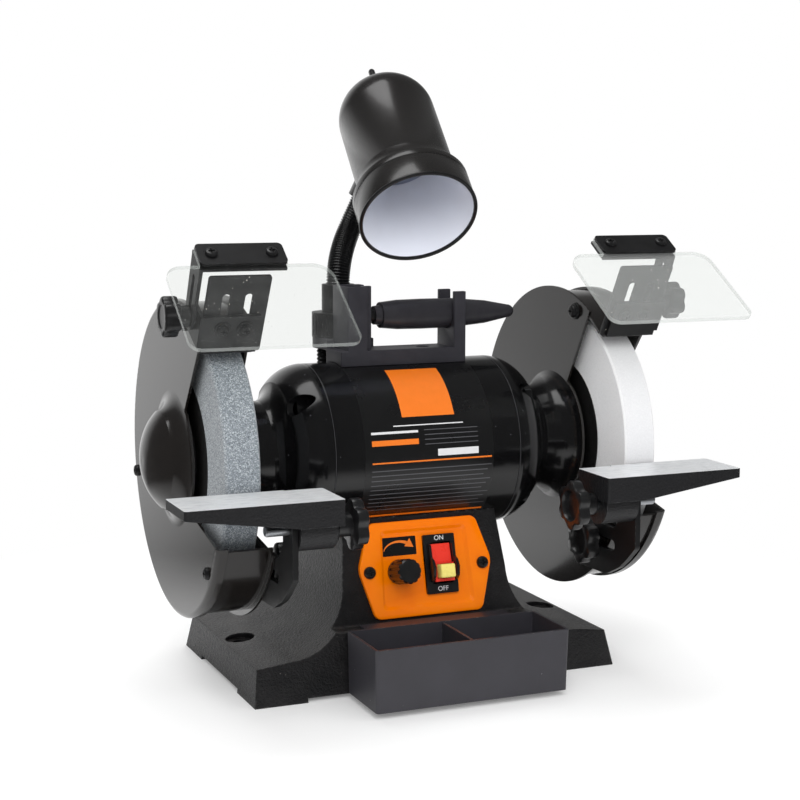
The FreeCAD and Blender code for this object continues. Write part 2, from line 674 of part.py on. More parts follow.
def guards():
    plate_x = NECK_END_X
    press_low, press_high = GUARD_PRESS_RADII
    pressed_x = plate_x - GUARD_PRESS_DEPTH
    plate = turned(sharp([
        (pressed_x, NECK_RING_RADIUS),
        (pressed_x, press_low),
        (plate_x, press_high),
        (plate_x, GUARD_RIM_RADIUS),
        (plate_x + SHEET, GUARD_RIM_RADIUS),
        (plate_x + SHEET, press_high - SHEET / 2),
        (pressed_x + SHEET, press_low - SHEET / 2),
        (pressed_x + SHEET, NECK_RING_RADIUS),
    ]))
    plate = on_shaft(plate)
    opening_x = (plate_x - FAR / 10, COVER_X + FAR / 10)
    plate = plate.cut(front_opening(
        GUARD_PLATE_TOP_ANGLE, GUARD_PLATE_LOW_RIM, GUARD_PLATE_LOW_INNER, press_high + SHEET, opening_x))
    skirt = ring(GUARD_SKIRT_RADIUS, GUARD_SKIRT_RADIUS - SHEET, (plate_x + SHEET / 2, GUARD_SKIRT_END_X))
    low = polar(GUARD_RIM_RADIUS, SKIRT_LOW_ANGLE)
    low_inner = polar(SHEET, SKIRT_LOW_ANGLE)
    skirt = skirt.cut(front_opening(SKIRT_TOP_ANGLE, low, low_inner, SHEET * 2, opening_x))
    tab = stack_place(block(GUARD_TAB_X, GUARD_TAB_Y, (-SHEET, 0)))
    guard = plate.fuse(skirt).fuse(tab)
    clamp_hole = rod_x(REST_STUD_RADIUS + STUD_PLAY, opening_x, CLAMP_STUD[0], CLAMP_STUD[1])
    guard = guard.cut(clamp_hole)
    screws = []
    tab_x = (GUARD_SKIRT_END_X - SHEET, GUARD_SKIRT_END_X)
    head_x = (COVER_X + SHEET, COVER_X + SHEET + COVER_SCREW_HEAD[1])
    shank_x = (COVER_X + SHEET - COVER_SCREW_SHANK[1], COVER_X + SHEET)
    holes = []
    for angle in COVER_SCREW_ANGLES:
        at = polar(COVER_SCREW_RADIUS, angle)
        ear_z = (COVER_SCREW_RADIUS - COVER_TAB_HALF / 2, GUARD_SKIRT_RADIUS - SHEET / 2)
        ear = block(tab_x, (-COVER_TAB_HALF, COVER_TAB_HALF), ear_z)
        guard = guard.fuse(on_shaft(ear.rotated(ORIGIN, X_AXIS, 90.0 - angle)))
        hole = on_shaft(rod_x(COVER_SCREW_SHANK[0], shank_x, at[0], at[1]))
        holes.append(hole)
        guard = guard.cut(hole)
        head = on_shaft(rod_x(COVER_SCREW_HEAD[0], head_x, at[0], at[1]))
        screws += both_sides(head.fuse(hole))
    save_pair("guard", guard)

    outer_x = COVER_X + SHEET
    bend = COVER_CORNER
    neck_x = DOME_NECK_HEIGHT
    apex_x = outer_x + DOME_HEIGHT
    quarter = math.sqrt(0.5)
    outer_bend = (outer_x - bend * (1 - quarter), COVER_RADIUS - bend * (1 - quarter))
    inner_cut = (bend - SHEET) * (1 - quarter)
    inner_bend = (COVER_X - inner_cut, COVER_RADIUS - SHEET - inner_cut)
    flare = DOME_BASE_RADIUS - DOME_NECK_RADIUS
    crown_x, crown_radius = DOME_CROWN
    out_run, out_drop = DOME_FLARE_OUTER
    in_run, in_drop = DOME_FLARE_INNER
    cover = turned(path((apex_x, 0), [
        (apex_x, TIP_FLAT),
        ((outer_x + crown_x, crown_radius), (outer_x + neck_x, DOME_NECK_RADIUS)),
        ((outer_x + neck_x * out_run, DOME_BASE_RADIUS - flare * out_drop), (outer_x, DOME_BASE_RADIUS)),
        (outer_x, COVER_RADIUS - bend),
        (outer_bend, (outer_x - bend, COVER_RADIUS)),
        (COVER_LIP_X, COVER_RADIUS),
        (COVER_LIP_X, COVER_RADIUS - SHEET),
        (outer_x - bend, COVER_RADIUS - SHEET),
        (inner_bend, (COVER_X, COVER_RADIUS - bend)),
        (COVER_X, DOME_BASE_RADIUS - SHEET / 2),
        ((COVER_X + neck_x * in_run, DOME_BASE_RADIUS - SHEET / 2 - flare * in_drop),
         (outer_x + neck_x - SHEET, DOME_NECK_RADIUS - SHEET * quarter)),
        ((outer_x + crown_x - SHEET, crown_radius - SHEET / 2), (apex_x - SHEET, TIP_FLAT)),
        (apex_x - SHEET, 0),
        (apex_x, 0),
    ]))
    cover = on_shaft(cover)
    cover = cover.cut(front_opening(
        COVER_TOP_ANGLE, COVER_LOW_RIM, COVER_LOW_INNER, DOME_BASE_RADIUS, opening_x))
    for hole in holes:
        cover = cover.cut(hole)
    save_pair("guard_cover", cover)
    save_group("cover_screws", screws)


def spark_arrestors():
    plate = block(STACK_X, ARRESTOR_Y, (STACK_PLAY, STACK_PLAY + SHEET))
    for x in ARRESTOR_SLOT_X:
        slot = slot_outline((x, ARRESTOR_SLOT_Y[0]), (x, ARRESTOR_SLOT_Y[1]), ARRESTOR_SLOT_WIDTH)
        plate = plate.cut(prism(slot, -SHEET, SHEET * 3))
    save_pair("spark_arrestor", stack_place(plate))
    low = 2 * STACK_PLAY + SHEET
    high = low + BRACKET_THICKNESS
    bracket = block(STACK_X, BRACKET_Y, (low, high))
    tab_x = (STACK_X[1], STACK_X[1] + BRACKET_THICKNESS)
    bracket = bracket.fuse(block(tab_x, (BRACKET_TAB_Y, BRACKET_Y[1]), (BRACKET_TAB_REACH, high)))
    bracket = stack_place(bracket)
    hole = rod_x(STUD_RADIUS + STUD_PLAY, tab_x, SHIELD_PIVOT[0], SHIELD_PIVOT[1])
    save_pair("shield_bracket", bracket.cut(hole))


def shield_knobs():
    hub_end, head_low, head_high = SHIELD_KNOB_X
    knob = lobed_knob((hub_end, head_low), (head_low, head_high), SHIELD_KNOB_RADII[0], SHIELD_KNOB_RADII[1])
    knob = knob.fuse(rod_x(STUD_RADIUS, (SHIELD_STUD_INNER_X, hub_end), 0, 0))
    save_pair("shield_knob", knob.translated(Vector(0, SHIELD_PIVOT[0], SHIELD_PIVOT[1])))


def save_shield_pair(name, shape):
    """The right-hand shield stands a little higher than the left one."""
    pivot = Vector(0, SHIELD_PIVOT[0], SHIELD_PIVOT[1])
    save("right_" + name, shape.rotated(pivot, X_AXIS, -RIGHT_SHIELD_RAISED))
    save("left_" + name, shape.mirror(ORIGIN, X_AXIS))


def eye_shields():
    half = SHIELD_THICKNESS / 2
    low_x, high_x = SHIELD_X
    front, back_inner, back_outer = SHIELD_CORNERS
    pane = prism(rounded([
        (low_x, -SHIELD_DEPTH, front),
        (high_x, -SHIELD_DEPTH, front),
        (high_x, 0, back_outer),
        (STRIP_X[1], 0, 0),
        (STRIP_X[1], STRIP_Y[1], SHIELD_TAB_CORNER),
        (STRIP_X[0], STRIP_Y[1], SHIELD_TAB_CORNER),
        (STRIP_X[0], 0, 0),
        (low_x, 0, back_inner),
    ]), -half, half)
    save_shield_pair("eye_shield", shield_place(pane))
    strip = block(STRIP_X, STRIP_Y, (half, half + STRIP_THICKNESS))
    save_shield_pair("shield_strip", shield_place(strip))

    back = shield_place(block(STRIP_X, STRIP_Y, (-half - STRIP_THICKNESS, -half)))
    lean = math.radians(SHIELD_LEAN)
    up = Vector(math.cos(lean), math.sin(lean), 0)
    out = Vector(-math.sin(lean), math.cos(lean), 0)
    root = Vector(SHIELD_ORIGIN[1], SHIELD_ORIGIN[2], 0)
    low = root + up * STRIP_Y[0] - out * half
    high = root + up * STRIP_Y[1] - out * half
    pivot = Vector(SHIELD_PIVOT[0], SHIELD_PIVOT[1], 0)
    along = ((low + high) * 0.5 - pivot).normalize()
    across = Vector(-along.y, along.x, 0) * ARM_END_RADIUS
    end = pivot - along * ARM_END_RADIUS
    corner = ARM_END_RADIUS * 0.95
    outline = rounded([
        (low.x, low.y, 0),
        ((end + across).x, (end + across).y, corner),
        ((end - across).x, (end - across).y, corner),
        (high.x, high.y, 0),
    ])
    arm = side_prism(outline, ARM_X)
    slot_end = pivot + along * ARM_SLOT_LENGTH
    width = 2 * (STUD_RADIUS + STUD_PLAY)
    slot = side_prism(slot_outline((pivot.x, pivot.y), (slot_end.x, slot_end.y), width), ARM_X)
    save_shield_pair("shield_arm", back.fuse(arm).cut(slot))


def tool_rests():
    low_x, high_x = REST_X
    bottom = REST_TOP - REST_INNER_THICKNESS
    body = front_prism(sharp([
        (low_x, REST_TOP),
        (low_x, bottom),
        (REST_POCKET_X[0], bottom),
        (high_x, REST_TOP - REST_OUTER_THICKNESS),
        (high_x, REST_TOP),
    ]), REST_Y)
    step_x, step = REST_STEP
    outline = prism(rounded([
        (low_x, REST_Y[0], REST_CORNER),
        (high_x, REST_Y[0], REST_CORNER),
        (high_x, REST_Y[1], REST_CORNER),
        (step_x, REST_Y[1], 0),
        (step_x, REST_Y[1] - step, 0),
        (low_x, REST_Y[1] - step, REST_CORNER),
    ]), 0, FAR)
    pocket = block(REST_POCKET_X, REST_POCKET_Y, (0, REST_TOP - REST_PLATE_THICKNESS))
    y, z = REST_PIVOT
    lug = rod_x(REST_LUG_RADIUS, REST_LUG_X, y, z)
    web = block(REST_LUG_X, (y - REST_LUG_RADIUS, y + REST_LUG_RADIUS), (z, bottom + OVERLAP))
    rest = body.common(outline).cut(pocket).fuse(lug).fuse(web)
    bore = rod_x(REST_STUD_RADIUS + STUD_PLAY, (low_x, REST_POCKET_X[0]), y, z)
    save_pair("tool_rest", rest.cut(bore))

    head_low, head_high, hub_end = REST_KNOB_X
    knob = lobed_knob((head_high, hub_end), (head_low, head_high), REST_KNOB_RADII[0], REST_KNOB_RADII[1])
    knob = knob.fuse(rod_x(REST_STUD_RADIUS, (hub_end, REST_STUD_END_X), 0, 0))
    save_pair("rest_knob", knob.translated(Vector(0, y, z)))


def rest_brackets():
    y, z = REST_PIVOT
    head = BRACKET_HEAD
    slide_y, slide_z = CLAMP_STUD
    heel_y = CLAMP_SLOT_Y[1] + BRACKET_HEEL
    low_edge = [(y + run, slide_z + rise, corner) for run, rise, corner in BRACKET_LOW_EDGE]
    top_edge = [(y + run, slide_z + rise, corner) for run, rise, corner in BRACKET_TOP_EDGE]
    heel = [
        (heel_y, slide_z + BRACKET_HEEL_LOW, BRACKET_HEEL_CORNER),
        (heel_y, top_edge[0][1], BRACKET_HEEL_CORNER),
    ]
    nearly_round = head * 0.98
    plate = side_prism(rounded(
        [(y - head, z + head, nearly_round), (y - head, slide_z + BRACKET_FRONT_LOW, BRACKET_FRONT_LOW)]
        + low_edge + heel + top_edge
        + [(y + head, z + head, nearly_round)]), REST_BRACKET_X)
    play = REST_STUD_RADIUS + STUD_PLAY
    slot = slot_outline((CLAMP_SLOT_Y[0], slide_z), (CLAMP_SLOT_Y[1], slide_z), 2 * play)
    plate = plate.cut(side_prism(slot, REST_BRACKET_X)).cut(rod_x(play, REST_BRACKET_X, y, z))
    save_pair("rest_bracket", plate)

    head_low, head_high, hub_end = CLAMP_KNOB_X
    knob = lobed_knob((head_high, hub_end), (head_low, head_high), REST_KNOB_RADII[0], REST_KNOB_RADII[1])
    knob = knob.fuse(rod_x(REST_STUD_RADIUS, (hub_end, CLAMP_STUD_END_X), 0, 0))
    save_pair("bracket_knob", knob.translated(Vector(0, slide_y, slide_z)))


def panel_origin():
    lean = math.radians(PANEL_LEAN)
    return (0.0, FRONT_LEDGE_Y[1] + math.tan(lean) * (PANEL_Z - FRONT_LEDGE_Z), PANEL_Z)


def panel_place(shape):
    return placed(shape, panel_origin(), 90.0 - PANEL_LEAN)


def base():
    centre_x, centre_z = FLARE_CENTRE
    radius = FLARE_RADIUS
    flare_low = (centre_x, centre_z - radius)
    waist = (centre_x - radius, centre_z)
    turn = math.sqrt(0.5)
    belly = (centre_x - radius * turn, centre_z - radius * turn)

    def flip(point):
        return (-point[0], point[1])

    top = (PEDESTAL_TOP_HALF_X, PEDESTAL_TOP)
    foot_top = (FOOT_TOP_HALF_X, FOOT_HEIGHT)
    foot = (FOOT_HALF_X, 0)
    front = path(flip(foot), [
        foot,
        foot_top,
        flare_low,
        (belly, waist),
        top,
        flip(top),
        flip(waist),
        (flip(belly), flip(flare_low)),
        flip(foot_top),
        flip(foot),
    ])
    front_slope = math.tan(math.radians(PANEL_LEAN))
    front_top = FRONT_LEDGE_Y[1] + front_slope * (PEDESTAL_TOP - FRONT_LEDGE_Z)
    side = rounded([
        (FRONT_LOW_Y, 0, 0),
        (FRONT_LEDGE_Y[0], FRONT_LEDGE_Z, FRONT_CORNER),
        (FRONT_LEDGE_Y[1], FRONT_LEDGE_Z, FRONT_CORNER),
        (front_top, PEDESTAL_TOP, 0),
        (BACK_Y[3], PEDESTAL_TOP, 0),
        (BACK_Y[2], BACK_KNEE_Z, BACK_CORNERS[1]),
        (BACK_Y[1], FOOT_HEIGHT, BACK_CORNERS[0]),
        (BACK_Y[0], 0, 0),
    ])
    wide = FOOT_HALF_X + OVERLAP
    casting = front_prism(front, (-FAR, FAR)).common(side_prism(side, (-wide, wide)))
    casting = casting.cut(on_shaft(rod_x(BARREL_RADIUS, (-wide, wide), 0, 0)))

    wall = BASE_WALL
    core_half = waist[0] - wall
    core_front = FRONT_LEDGE_Y[1] + wall
    core_lean = front_slope * (CORE_TOP - FRONT_LEDGE_Z)
    core = side_prism(sharp([
        (core_front, 0),
        (core_front, FRONT_LEDGE_Z),
        (core_front + core_lean, CORE_TOP),
        (BACK_Y[3] - wall, CORE_TOP),
        (BACK_Y[2] - wall, BACK_KNEE_Z),
        (BACK_Y[2] - wall, 0),
    ]), (-core_half, core_half))
    window = block(PANEL_OPENING_X, PANEL_OPENING_Y, (-SWITCH_DEPTH - wall, PANEL_THICKNESS))
    casting = casting.cut(core).cut(panel_place(window))
    pad_x = FOOT_HALF_X - FOOT_PAD_WIDTH
    casting = casting.cut(block((-pad_x, pad_x), (-FAR, FAR), (0, FOOT_RELIEF)))
    hole_x = FOOT_HALF_X - BENCH_HOLE_INSET
    side_relief = block((-wide, wide), (-FOOT_PAD_Y, FOOT_PAD_Y), (0, FOOT_RELIEF))
    for x in (-hole_x, hole_x):
        side_relief = side_relief.cut(rod_z(BENCH_BOSS_RADIUS, x, 0, (0, FOOT_RELIEF)))
    casting = casting.cut(side_relief)
    for x in (-hole_x, hole_x):
        casting = casting.cut(rod_z(BENCH_HOLE_RADIUS, x, 0, (0, PEDESTAL_TOP)))
        casting = casting.cut(rod_z(SPOT_FACE_RADIUS, x, 0, (SPOT_FACE_Z, PEDESTAL_TOP)))
    gland_x, gland_z = GLAND_AT
    hole = rod(GLAND_RADII[0], Vector(gland_x, core_front, gland_z), Vector(gland_x, FAR, gland_z))
    hole = hole.cut(block((-FAR, FAR), (-FAR, 0), (0, FAR)))
    face = rod(GLAND_RADII[1] + OVERLAP, Vector(gland_x, GLAND_Y[1], gland_z), Vector(gland_x, FAR, gland_z))
    save("base_casting", casting.cut(hole).cut(face))

    half_x, half_y = COVER_PLATE_HALF
    plate = prism(rounded([
        (-half_x, -half_y, COVER_PLATE_CORNER),
        (half_x, -half_y, COVER_PLATE_CORNER),
        (half_x, half_y, COVER_PLATE_CORNER),
        (-half_x, half_y, COVER_PLATE_CORNER),
    ]), FOOT_RELIEF - COVER_PLATE_THICKNESS, FOOT_RELIEF)
    save("bottom_cover", plate)

    inner_y, face_y, flange_y, outer_y = GLAND_Y

    def along(radius, low, high):
        return rod(radius, Vector(gland_x, low, gland_z), Vector(gland_x, high, gland_z))

    gland = along(GLAND_RADII[0], inner_y, outer_y).fuse(along(GLAND_RADII[1], face_y, flange_y))
    save("cord_gland", gland.cut(along(GLAND_RADII[2], inner_y, outer_y)))


def control_panel():
    mid, top = PANEL_HEIGHTS
    low_half, mid_half, top_half = PANEL_HALF
    corner = PANEL_CORNER
    plate = prism(rounded([
        (-low_half, 0, corner),
        (low_half, 0, corner),
        (mid_half, mid, corner),
        (top_half, top, corner),
        (-top_half, top, corner),
        (-mid_half, mid, corner),
    ]), 0, PANEL_THICKNESS)
    front_edges = [edge for edge in plate.Edges if edge.BoundBox.ZMin > PANEL_THICKNESS - 0.01]
    plate = plate.makeChamfer(PANEL_EDGE, front_edges)
    floor = PANEL_THICKNESS - PANEL_RECESS_DEPTH
    wide_half, narrow_half = PANEL_RECESS_HALF
    recess = prism(rounded([
        (-wide_half, PANEL_RECESS_Y[0], PANEL_RECESS_CORNER),
        (wide_half, PANEL_RECESS_Y[0], PANEL_RECESS_CORNER),
        (narrow_half, PANEL_RECESS_Y[1], PANEL_RECESS_CORNER),
        (-narrow_half, PANEL_RECESS_Y[1], PANEL_RECESS_CORNER),
    ]), floor, PANEL_THICKNESS + OVERLAP)
    speed_x, speed_y = SPEED_AT
    shaft_hole = rod_z(SPEED_SHAFT_RADIUS + OVERLAP, speed_x, speed_y, (-OVERLAP, PANEL_THICKNESS))
    body_x = (BEZEL_X[0] + SWITCH_WALL, BEZEL_X[1] - SWITCH_WALL)
    body_y = (BEZEL_Y[0] + SWITCH_WALL, BEZEL_Y[1] - SWITCH_WALL)
    body_hole = block(body_x, body_y, (-OVERLAP, PANEL_THICKNESS))
    save("control_panel", panel_place(plate.cut(recess).cut(shaft_hole).cut(body_hole)))

    knob_low = floor + SPEED_KNOB_PLAY
    knob_high = knob_low + SPEED_KNOB_LENGTH
    knob = rod_z(SPEED_KNOB_RADIUS, 0, 0, (knob_low, knob_high))
    top_edges = [edge for edge in knob.Edges if edge.BoundBox.ZMin > knob_high - 0.01]
    knob = knob.makeChamfer(SPEED_KNOB_EDGE, top_edges)
    for index in range(SPEED_FLUTES):
        angle = 2 * math.pi * (index + 0.5) / SPEED_FLUTES
        reach = SPEED_KNOB_RADIUS + SPEED_FLUTE_OUT
        flute_x = reach * math.cos(angle)
        flute_y = reach * math.sin(angle)
        knob = knob.cut(rod_z(SPEED_FLUTE_RADIUS, flute_x, flute_y, (knob_low + SPEED_KNOB_SKIRT, knob_high)))
    bore_end = knob_high - SPEED_KNOB_CAP
    knob = knob.cut(rod_z(SPEED_SHAFT_RADIUS + SPEED_SHAFT_CLEARANCE, 0, 0, (knob_low, bore_end)))
    save("speed_knob", panel_place(knob.translated(Vector(speed_x, speed_y, 0))))

    body_radius, body_depth = SPEED_BODY
    control = rod_z(body_radius, speed_x, speed_y, (-body_depth, 0))
    control = control.fuse(rod_z(SPEED_SHAFT_RADIUS, speed_x, speed_y, (0, bore_end - SPEED_SHAFT_END_PLAY)))
    control = control.fuse(block(BOARD_X, BOARD_Y, (-body_depth - BOARD_THICKNESS, -body_depth)))
    save("speed_control", panel_place(control))
    switch(floor, body_x, body_y)


def switch(floor, body_x, body_y):
    proud = floor + BEZEL_PROUD
    corner = BEZEL_CORNER
    bezel = prism(rounded([
        (BEZEL_X[0], BEZEL_Y[0], corner),
        (BEZEL_X[1], BEZEL_Y[0], corner),
        (BEZEL_X[1], BEZEL_Y[1], corner),
        (BEZEL_X[0], BEZEL_Y[1], corner),
    ]), floor, proud)
    housing = block(body_x, body_y, (-SWITCH_DEPTH, floor))
    pocket = block(SWITCH_POCKET_X, SWITCH_POCKET_Y, (-SWITCH_POCKET_DEPTH, proud + OVERLAP))
    save("switch_body", panel_place(bezel.fuse(housing).cut(pocket)))

    play = PADDLE_PLAY
    paddle_x = (SWITCH_POCKET_X[0] + play, SWITCH_POCKET_X[1] - play)
    low = SWITCH_POCKET_Y[0] + PADDLE_END_PLAY
    high = SWITCH_POCKET_Y[1] - PADDLE_END_PLAY
    key_low, key_high = PADDLE_KEY_SLOT_Y
    root = PADDLE_ROOT
    paddle = side_prism(sharp([
        (low + play, root),
        (PADDLE_PIVOT_Y, root - PADDLE_KEEL),
        (high - play, root),
        (high, proud - PADDLE_TOP_SINK),
        (key_high + OVERLAP, proud + PADDLE_MID_PROUD),
        (key_high + play, proud + PADDLE_LIP_PROUD),
        (low, proud + PADDLE_LOW_PROUD),
    ]), paddle_x)
    key_slot = block(KEY_X, (key_low, key_high), (root + KEY_SLOT_FLOOR, proud + PADDLE_LIP_PROUD + OVERLAP))
    save("switch_paddle", panel_place(paddle.cut(key_slot)))
    key_x = (KEY_X[0] + KEY_PLAY, KEY_X[1] - KEY_PLAY)
    key = block(key_x, (key_low + KEY_PLAY, key_high - KEY_PLAY), (root + KEY_SLOT_FLOOR + KEY_PLAY, KEY_OUT))
    save("switch_key", panel_place(key))


def tray_shell(half_x, y, z, corner):
    """Straight-drafted box, narrower at the bottom."""
    levels = []
    for height, inset in ((z[0], TRAY_DRAFT), (z[1], 0.0)):
        outline = Part.Wire(rounded([
            (-half_x + inset, y[0] + inset, corner),
            (half_x - inset, y[0] + inset, corner),
            (half_x - inset, y[1], corner),
            (-half_x + inset, y[1], corner),
        ]))
        outline.translate(Vector(0, 0, height))
        levels.append(outline)
    return Part.makeLoft(levels, True, True)


def tray():
    wall = TRAY_WALL
    outside = tray_shell(TRAY_HALF_X, TRAY_Y, TRAY_Z, TRAY_CORNER)
    inside_y = (TRAY_Y[0] + wall, TRAY_Y[1] - wall)
    inside_z = (TRAY_Z[0] + wall, TRAY_Z[1] + wall)
    inside = tray_shell(TRAY_HALF_X - wall, inside_y, inside_z, TRAY_CORNER - wall)
    divider = block((-wall / 2, wall / 2), inside_y, (TRAY_Z[0] + wall / 2, TRAY_Z[1] - TRAY_DIVIDER_DROP))
    lip = block((-TRAY_LIP_HALF_X, TRAY_LIP_HALF_X), (TRAY_Y[1] - wall, TRAY_LIP_Y), TRAY_LIP_Z)
    save("tray", outside.cut(inside).fuse(divider.common(outside)).fuse(lip))


def dresser():
    half_x = HOLDER_HALF_X
    half_y = HOLDER_HALF_Y
    holder = block((-half_x, half_x), (-half_y, half_y), (SHAFT_HEIGHT + BARREL_RADIUS / 2, holder_top))
    left, step, right = POST_X
    post = prism(sharp([
        (left, -half_y),
        (step, -half_y),
        (step, POST_SETBACK_Y),
        (right, POST_SETBACK_Y),
        (right, half_y),
        (left, half_y),
    ]), holder_top, POST_TOP)
    wall = POST_WALL
    pocket = block((left + wall, step - wall), (-half_y + wall, half_y - wall), (POST_FLOOR, POST_TOP))
    neck_width = DRESSER_NECK_RADIUS + DRESSER_NECK_PLAY
    notch_low = DRESSER_Z - neck_width
    notch = block((step - wall, right), (-neck_width, neck_width), (notch_low, POST_TOP))
    clip = block(CLIP_X, (-half_y, half_y), (holder_top, CLIP_TOP))
    cradle = block(CLIP_X, (-CLIP_INNER_Y, CLIP_INNER_Y), (DRESSER_Z, CLIP_TOP))
    cradle = cradle.fuse(rod_x(CLIP_INNER_Y, CLIP_X, 0, DRESSER_Z))
    lug_x, lug_y = LAMP_AT
    lug = rod_z(LUG_RADIUS, lug_x, lug_y, LUG_Z)
    web_x = (max(lug_x - LUG_RADIUS, -half_x), lug_x + LUG_RADIUS)
    web = block(web_x, (half_y - wall, lug_y), LUG_Z)
    holder = holder.fuse(post).fuse(clip).cut(pocket).cut(notch).cut(cradle).fuse(lug).fuse(web)
    holder = holder.cut(on_shaft(rod_x(BARREL_RADIUS, (-half_x, half_x), 0, 0)))
    screw_low, screw_high = HOLDER_SCREW_RADII
    holder = holder.cut(rod_z(screw_low, HOLDER_SCREW_X, 0, (SHAFT_HEIGHT, holder_top)))
    holder = holder.cut(rod_z(screw_high, HOLDER_SCREW_X, 0, (holder_top - HOLDER_SCREW_SINK, holder_top)))
    conduit_hole = rod_z(CONDUIT_RADIUS, CONDUIT_AT[0], CONDUIT_AT[1], (LUG_Z[0], CONDUIT_Z[1]))
    save("dresser_holder", holder.cut(conduit_hole))

    axis = Vector(0, 0, DRESSER_Z)
    grip_start = GRIP_COLLAR[0][0]
    tip_low = GRIP_SWELL[-1]
    tip_turn = (GRIP_TIP_X - (GRIP_TIP_X - tip_low[0]) * 0.3, tip_low[1] * 0.71)
    steps = list(GRIP_COLLAR + GRIP_SWELL) + [(tip_turn, (GRIP_TIP_X, TIP_FLAT)), (GRIP_TIP_X, 0), (grip_start, 0)]
    grip = turned(path((grip_start, 0), steps))
    bore = rod_x(DRESSER_NECK_RADIUS, (grip_start, 0), 0, 0)
    save("dresser_grip", grip.cut(bore).translated(axis))
    star_low, star_high = DRESSER_STARS_X
    teeth = []
    for index in range(2 * DRESSER_STAR_TEETH):
        radius = DRESSER_STAR_RADIUS if index % 2 else DRESSER_STAR_RADIUS * DRESSER_STAR_ROOT
        angle = math.pi * index / DRESSER_STAR_TEETH
        teeth.append((radius * math.cos(angle), radius * math.sin(angle)))
    star = side_prism(sharp(teeth), (star_low, star_high))
    neck = rod_x(DRESSER_NECK_RADIUS, (star_high, 0), 0, 0)
    save("dresser_head", star.fuse(neck).translated(axis))


def goose_line():
    """Neck centre line: straight up out of the sleeve, one bend, straight into the shade's boss."""
    end_direction = Vector(*GOOSE_END_DIRECTION).normalize()
    start = Vector(LAMP_AT[0], LAMP_AT[1], LAMP_NUT_TOP)
    end = Vector(*GOOSE_END) - end_direction * STUD_PLAY
    low = Vector(LAMP_AT[0], LAMP_AT[1], SLEEVE_TOP)
    high = end - end_direction * GOOSE_STRAIGHT
    bend = Part.BezierCurve()
    reach = (high - low).Length * GOOSE_BEND_REACH
    bend.setPoles([low, low + Z_AXIS * reach, high - end_direction * reach, high])
    edge = bend.toShape()
    first = (low - start).Length
    last = (end - high).Length

    def at(distance):
        if distance <= first:
            return start + Z_AXIS * distance, Z_AXIS
        if distance >= first + edge.Length:
            return high + end_direction * (distance - first - edge.Length), end_direction
        parameter = edge.getParameterByLength(distance - first)
        return edge.valueAt(parameter), edge.tangentAt(parameter).normalize()

    return at, first, first + edge.Length + last


def tube_along(at, stops):
    centres = []
    tangents = []
    for distance, _ in stops:
        centre, tangent = at(distance)
        centres.append(centre)
        tangents.append(tangent)
    return ribbed(centres, tangents, [radius for _, radius in stops])


def rib_stops(low, high, ribs, crest, root):
    """Four circles to a rib: root, crest, crest, root."""
    pitch = (high - low) / ribs
    stops = []
    for index in range(ribs):
        start = low + pitch * index
        for share, radius in ((0.1, root), (0.35, crest), (0.65, crest), (0.9, root)):
            stops.append((start + pitch * share, radius))
    return stops


def lamp():
    lamp_x, lamp_y = LAMP_AT
    nut = rod_z(LAMP_NUT_RADIUS, lamp_x, lamp_y, (LUG_Z[1], LAMP_NUT_TOP))
    groove_z = (LUG_Z[1] + LAMP_NUT_BAND, LAMP_NUT_TOP - LAMP_NUT_BAND)
    for index in range(LAMP_NUT_GROOVES):
        angle = 2 * math.pi * index / LAMP_NUT_GROOVES
        groove_x = lamp_x + LAMP_NUT_RADIUS * math.cos(angle)
        groove_y = lamp_y + LAMP_NUT_RADIUS * math.sin(angle)
        nut = nut.cut(rod_z(LAMP_NUT_GROOVE_RADIUS, groove_x, groove_y, groove_z))
    save("lamp_nut", nut.cut(rod_z(GOOSE_BORE, lamp_x, lamp_y, (LUG_Z[1], LAMP_NUT_TOP))))
    sleeve = rod_z(SLEEVE_RADIUS, lamp_x, lamp_y, (LAMP_NUT_TOP, SLEEVE_TOP))
    save("lamp_sleeve", sleeve.cut(rod_z(GOOSE_RADIUS, lamp_x, lamp_y, (LAMP_NUT_TOP, SLEEVE_TOP))))

    at, straight, total = goose_line()
    stops = [(0.0, GOOSE_ROOT_RADIUS)]
    stops += rib_stops(straight * 0.5, total - GOOSE_END_BAND, GOOSE_RIBS, GOOSE_RADIUS, GOOSE_ROOT_RADIUS)
    stops.append((total, GOOSE_ROOT_RADIUS))
    bore_stops = [(total * index / GOOSE_BORE_STEPS, GOOSE_BORE) for index in range(GOOSE_BORE_STEPS + 1)]
    save("lamp_neck", tube_along(at, stops).cut(tube_along(at, bore_stops)))

    conduit_x, conduit_y = CONDUIT_AT
    low, high = CONDUIT_Z

    def conduit_line(distance):
        return Vector(conduit_x, conduit_y, low + distance), Z_AXIS

    length = high - low
    stops = [(0.0, CONDUIT_ROOT_RADIUS)]
    band = CONDUIT_END_BAND
    stops += rib_stops(band, length - band, CONDUIT_RIBS, CONDUIT_RADIUS, CONDUIT_ROOT_RADIUS)
    stops.append((length, CONDUIT_ROOT_RADIUS))
    wire_bore = rod_z(CONDUIT_ROOT_RADIUS - CONDUIT_WALL, conduit_x, conduit_y, CONDUIT_Z)
    save("lamp_conduit", tube_along(conduit_line, stops).cut(wire_bore))
    shade()


def shade_half(inset, open_end):
    """Outline of the shade as (distance from the rim, radius), closed on its axis."""
    body = SHADE_RADIUS - inset
    rim = SHADE_RIM_RADIUS - inset
    dome = Part.Ellipse(Vector(SHADE_BODY_END, 0, 0), SHADE_LENGTH - inset - SHADE_BODY_END, body)
    edges = path((-open_end, 0), [
        (-open_end, rim),
        (SHADE_RIM_LENGTH, rim),
        (SHADE_SHOULDER, body),
        (SHADE_BODY_END, body),
    ])
    edges.append(dome.toShape(0, math.pi / 2))
    edges.append(Part.makeLine(Vector(SHADE_LENGTH - inset, 0, 0), Vector(-open_end, 0, 0)))
    return edges


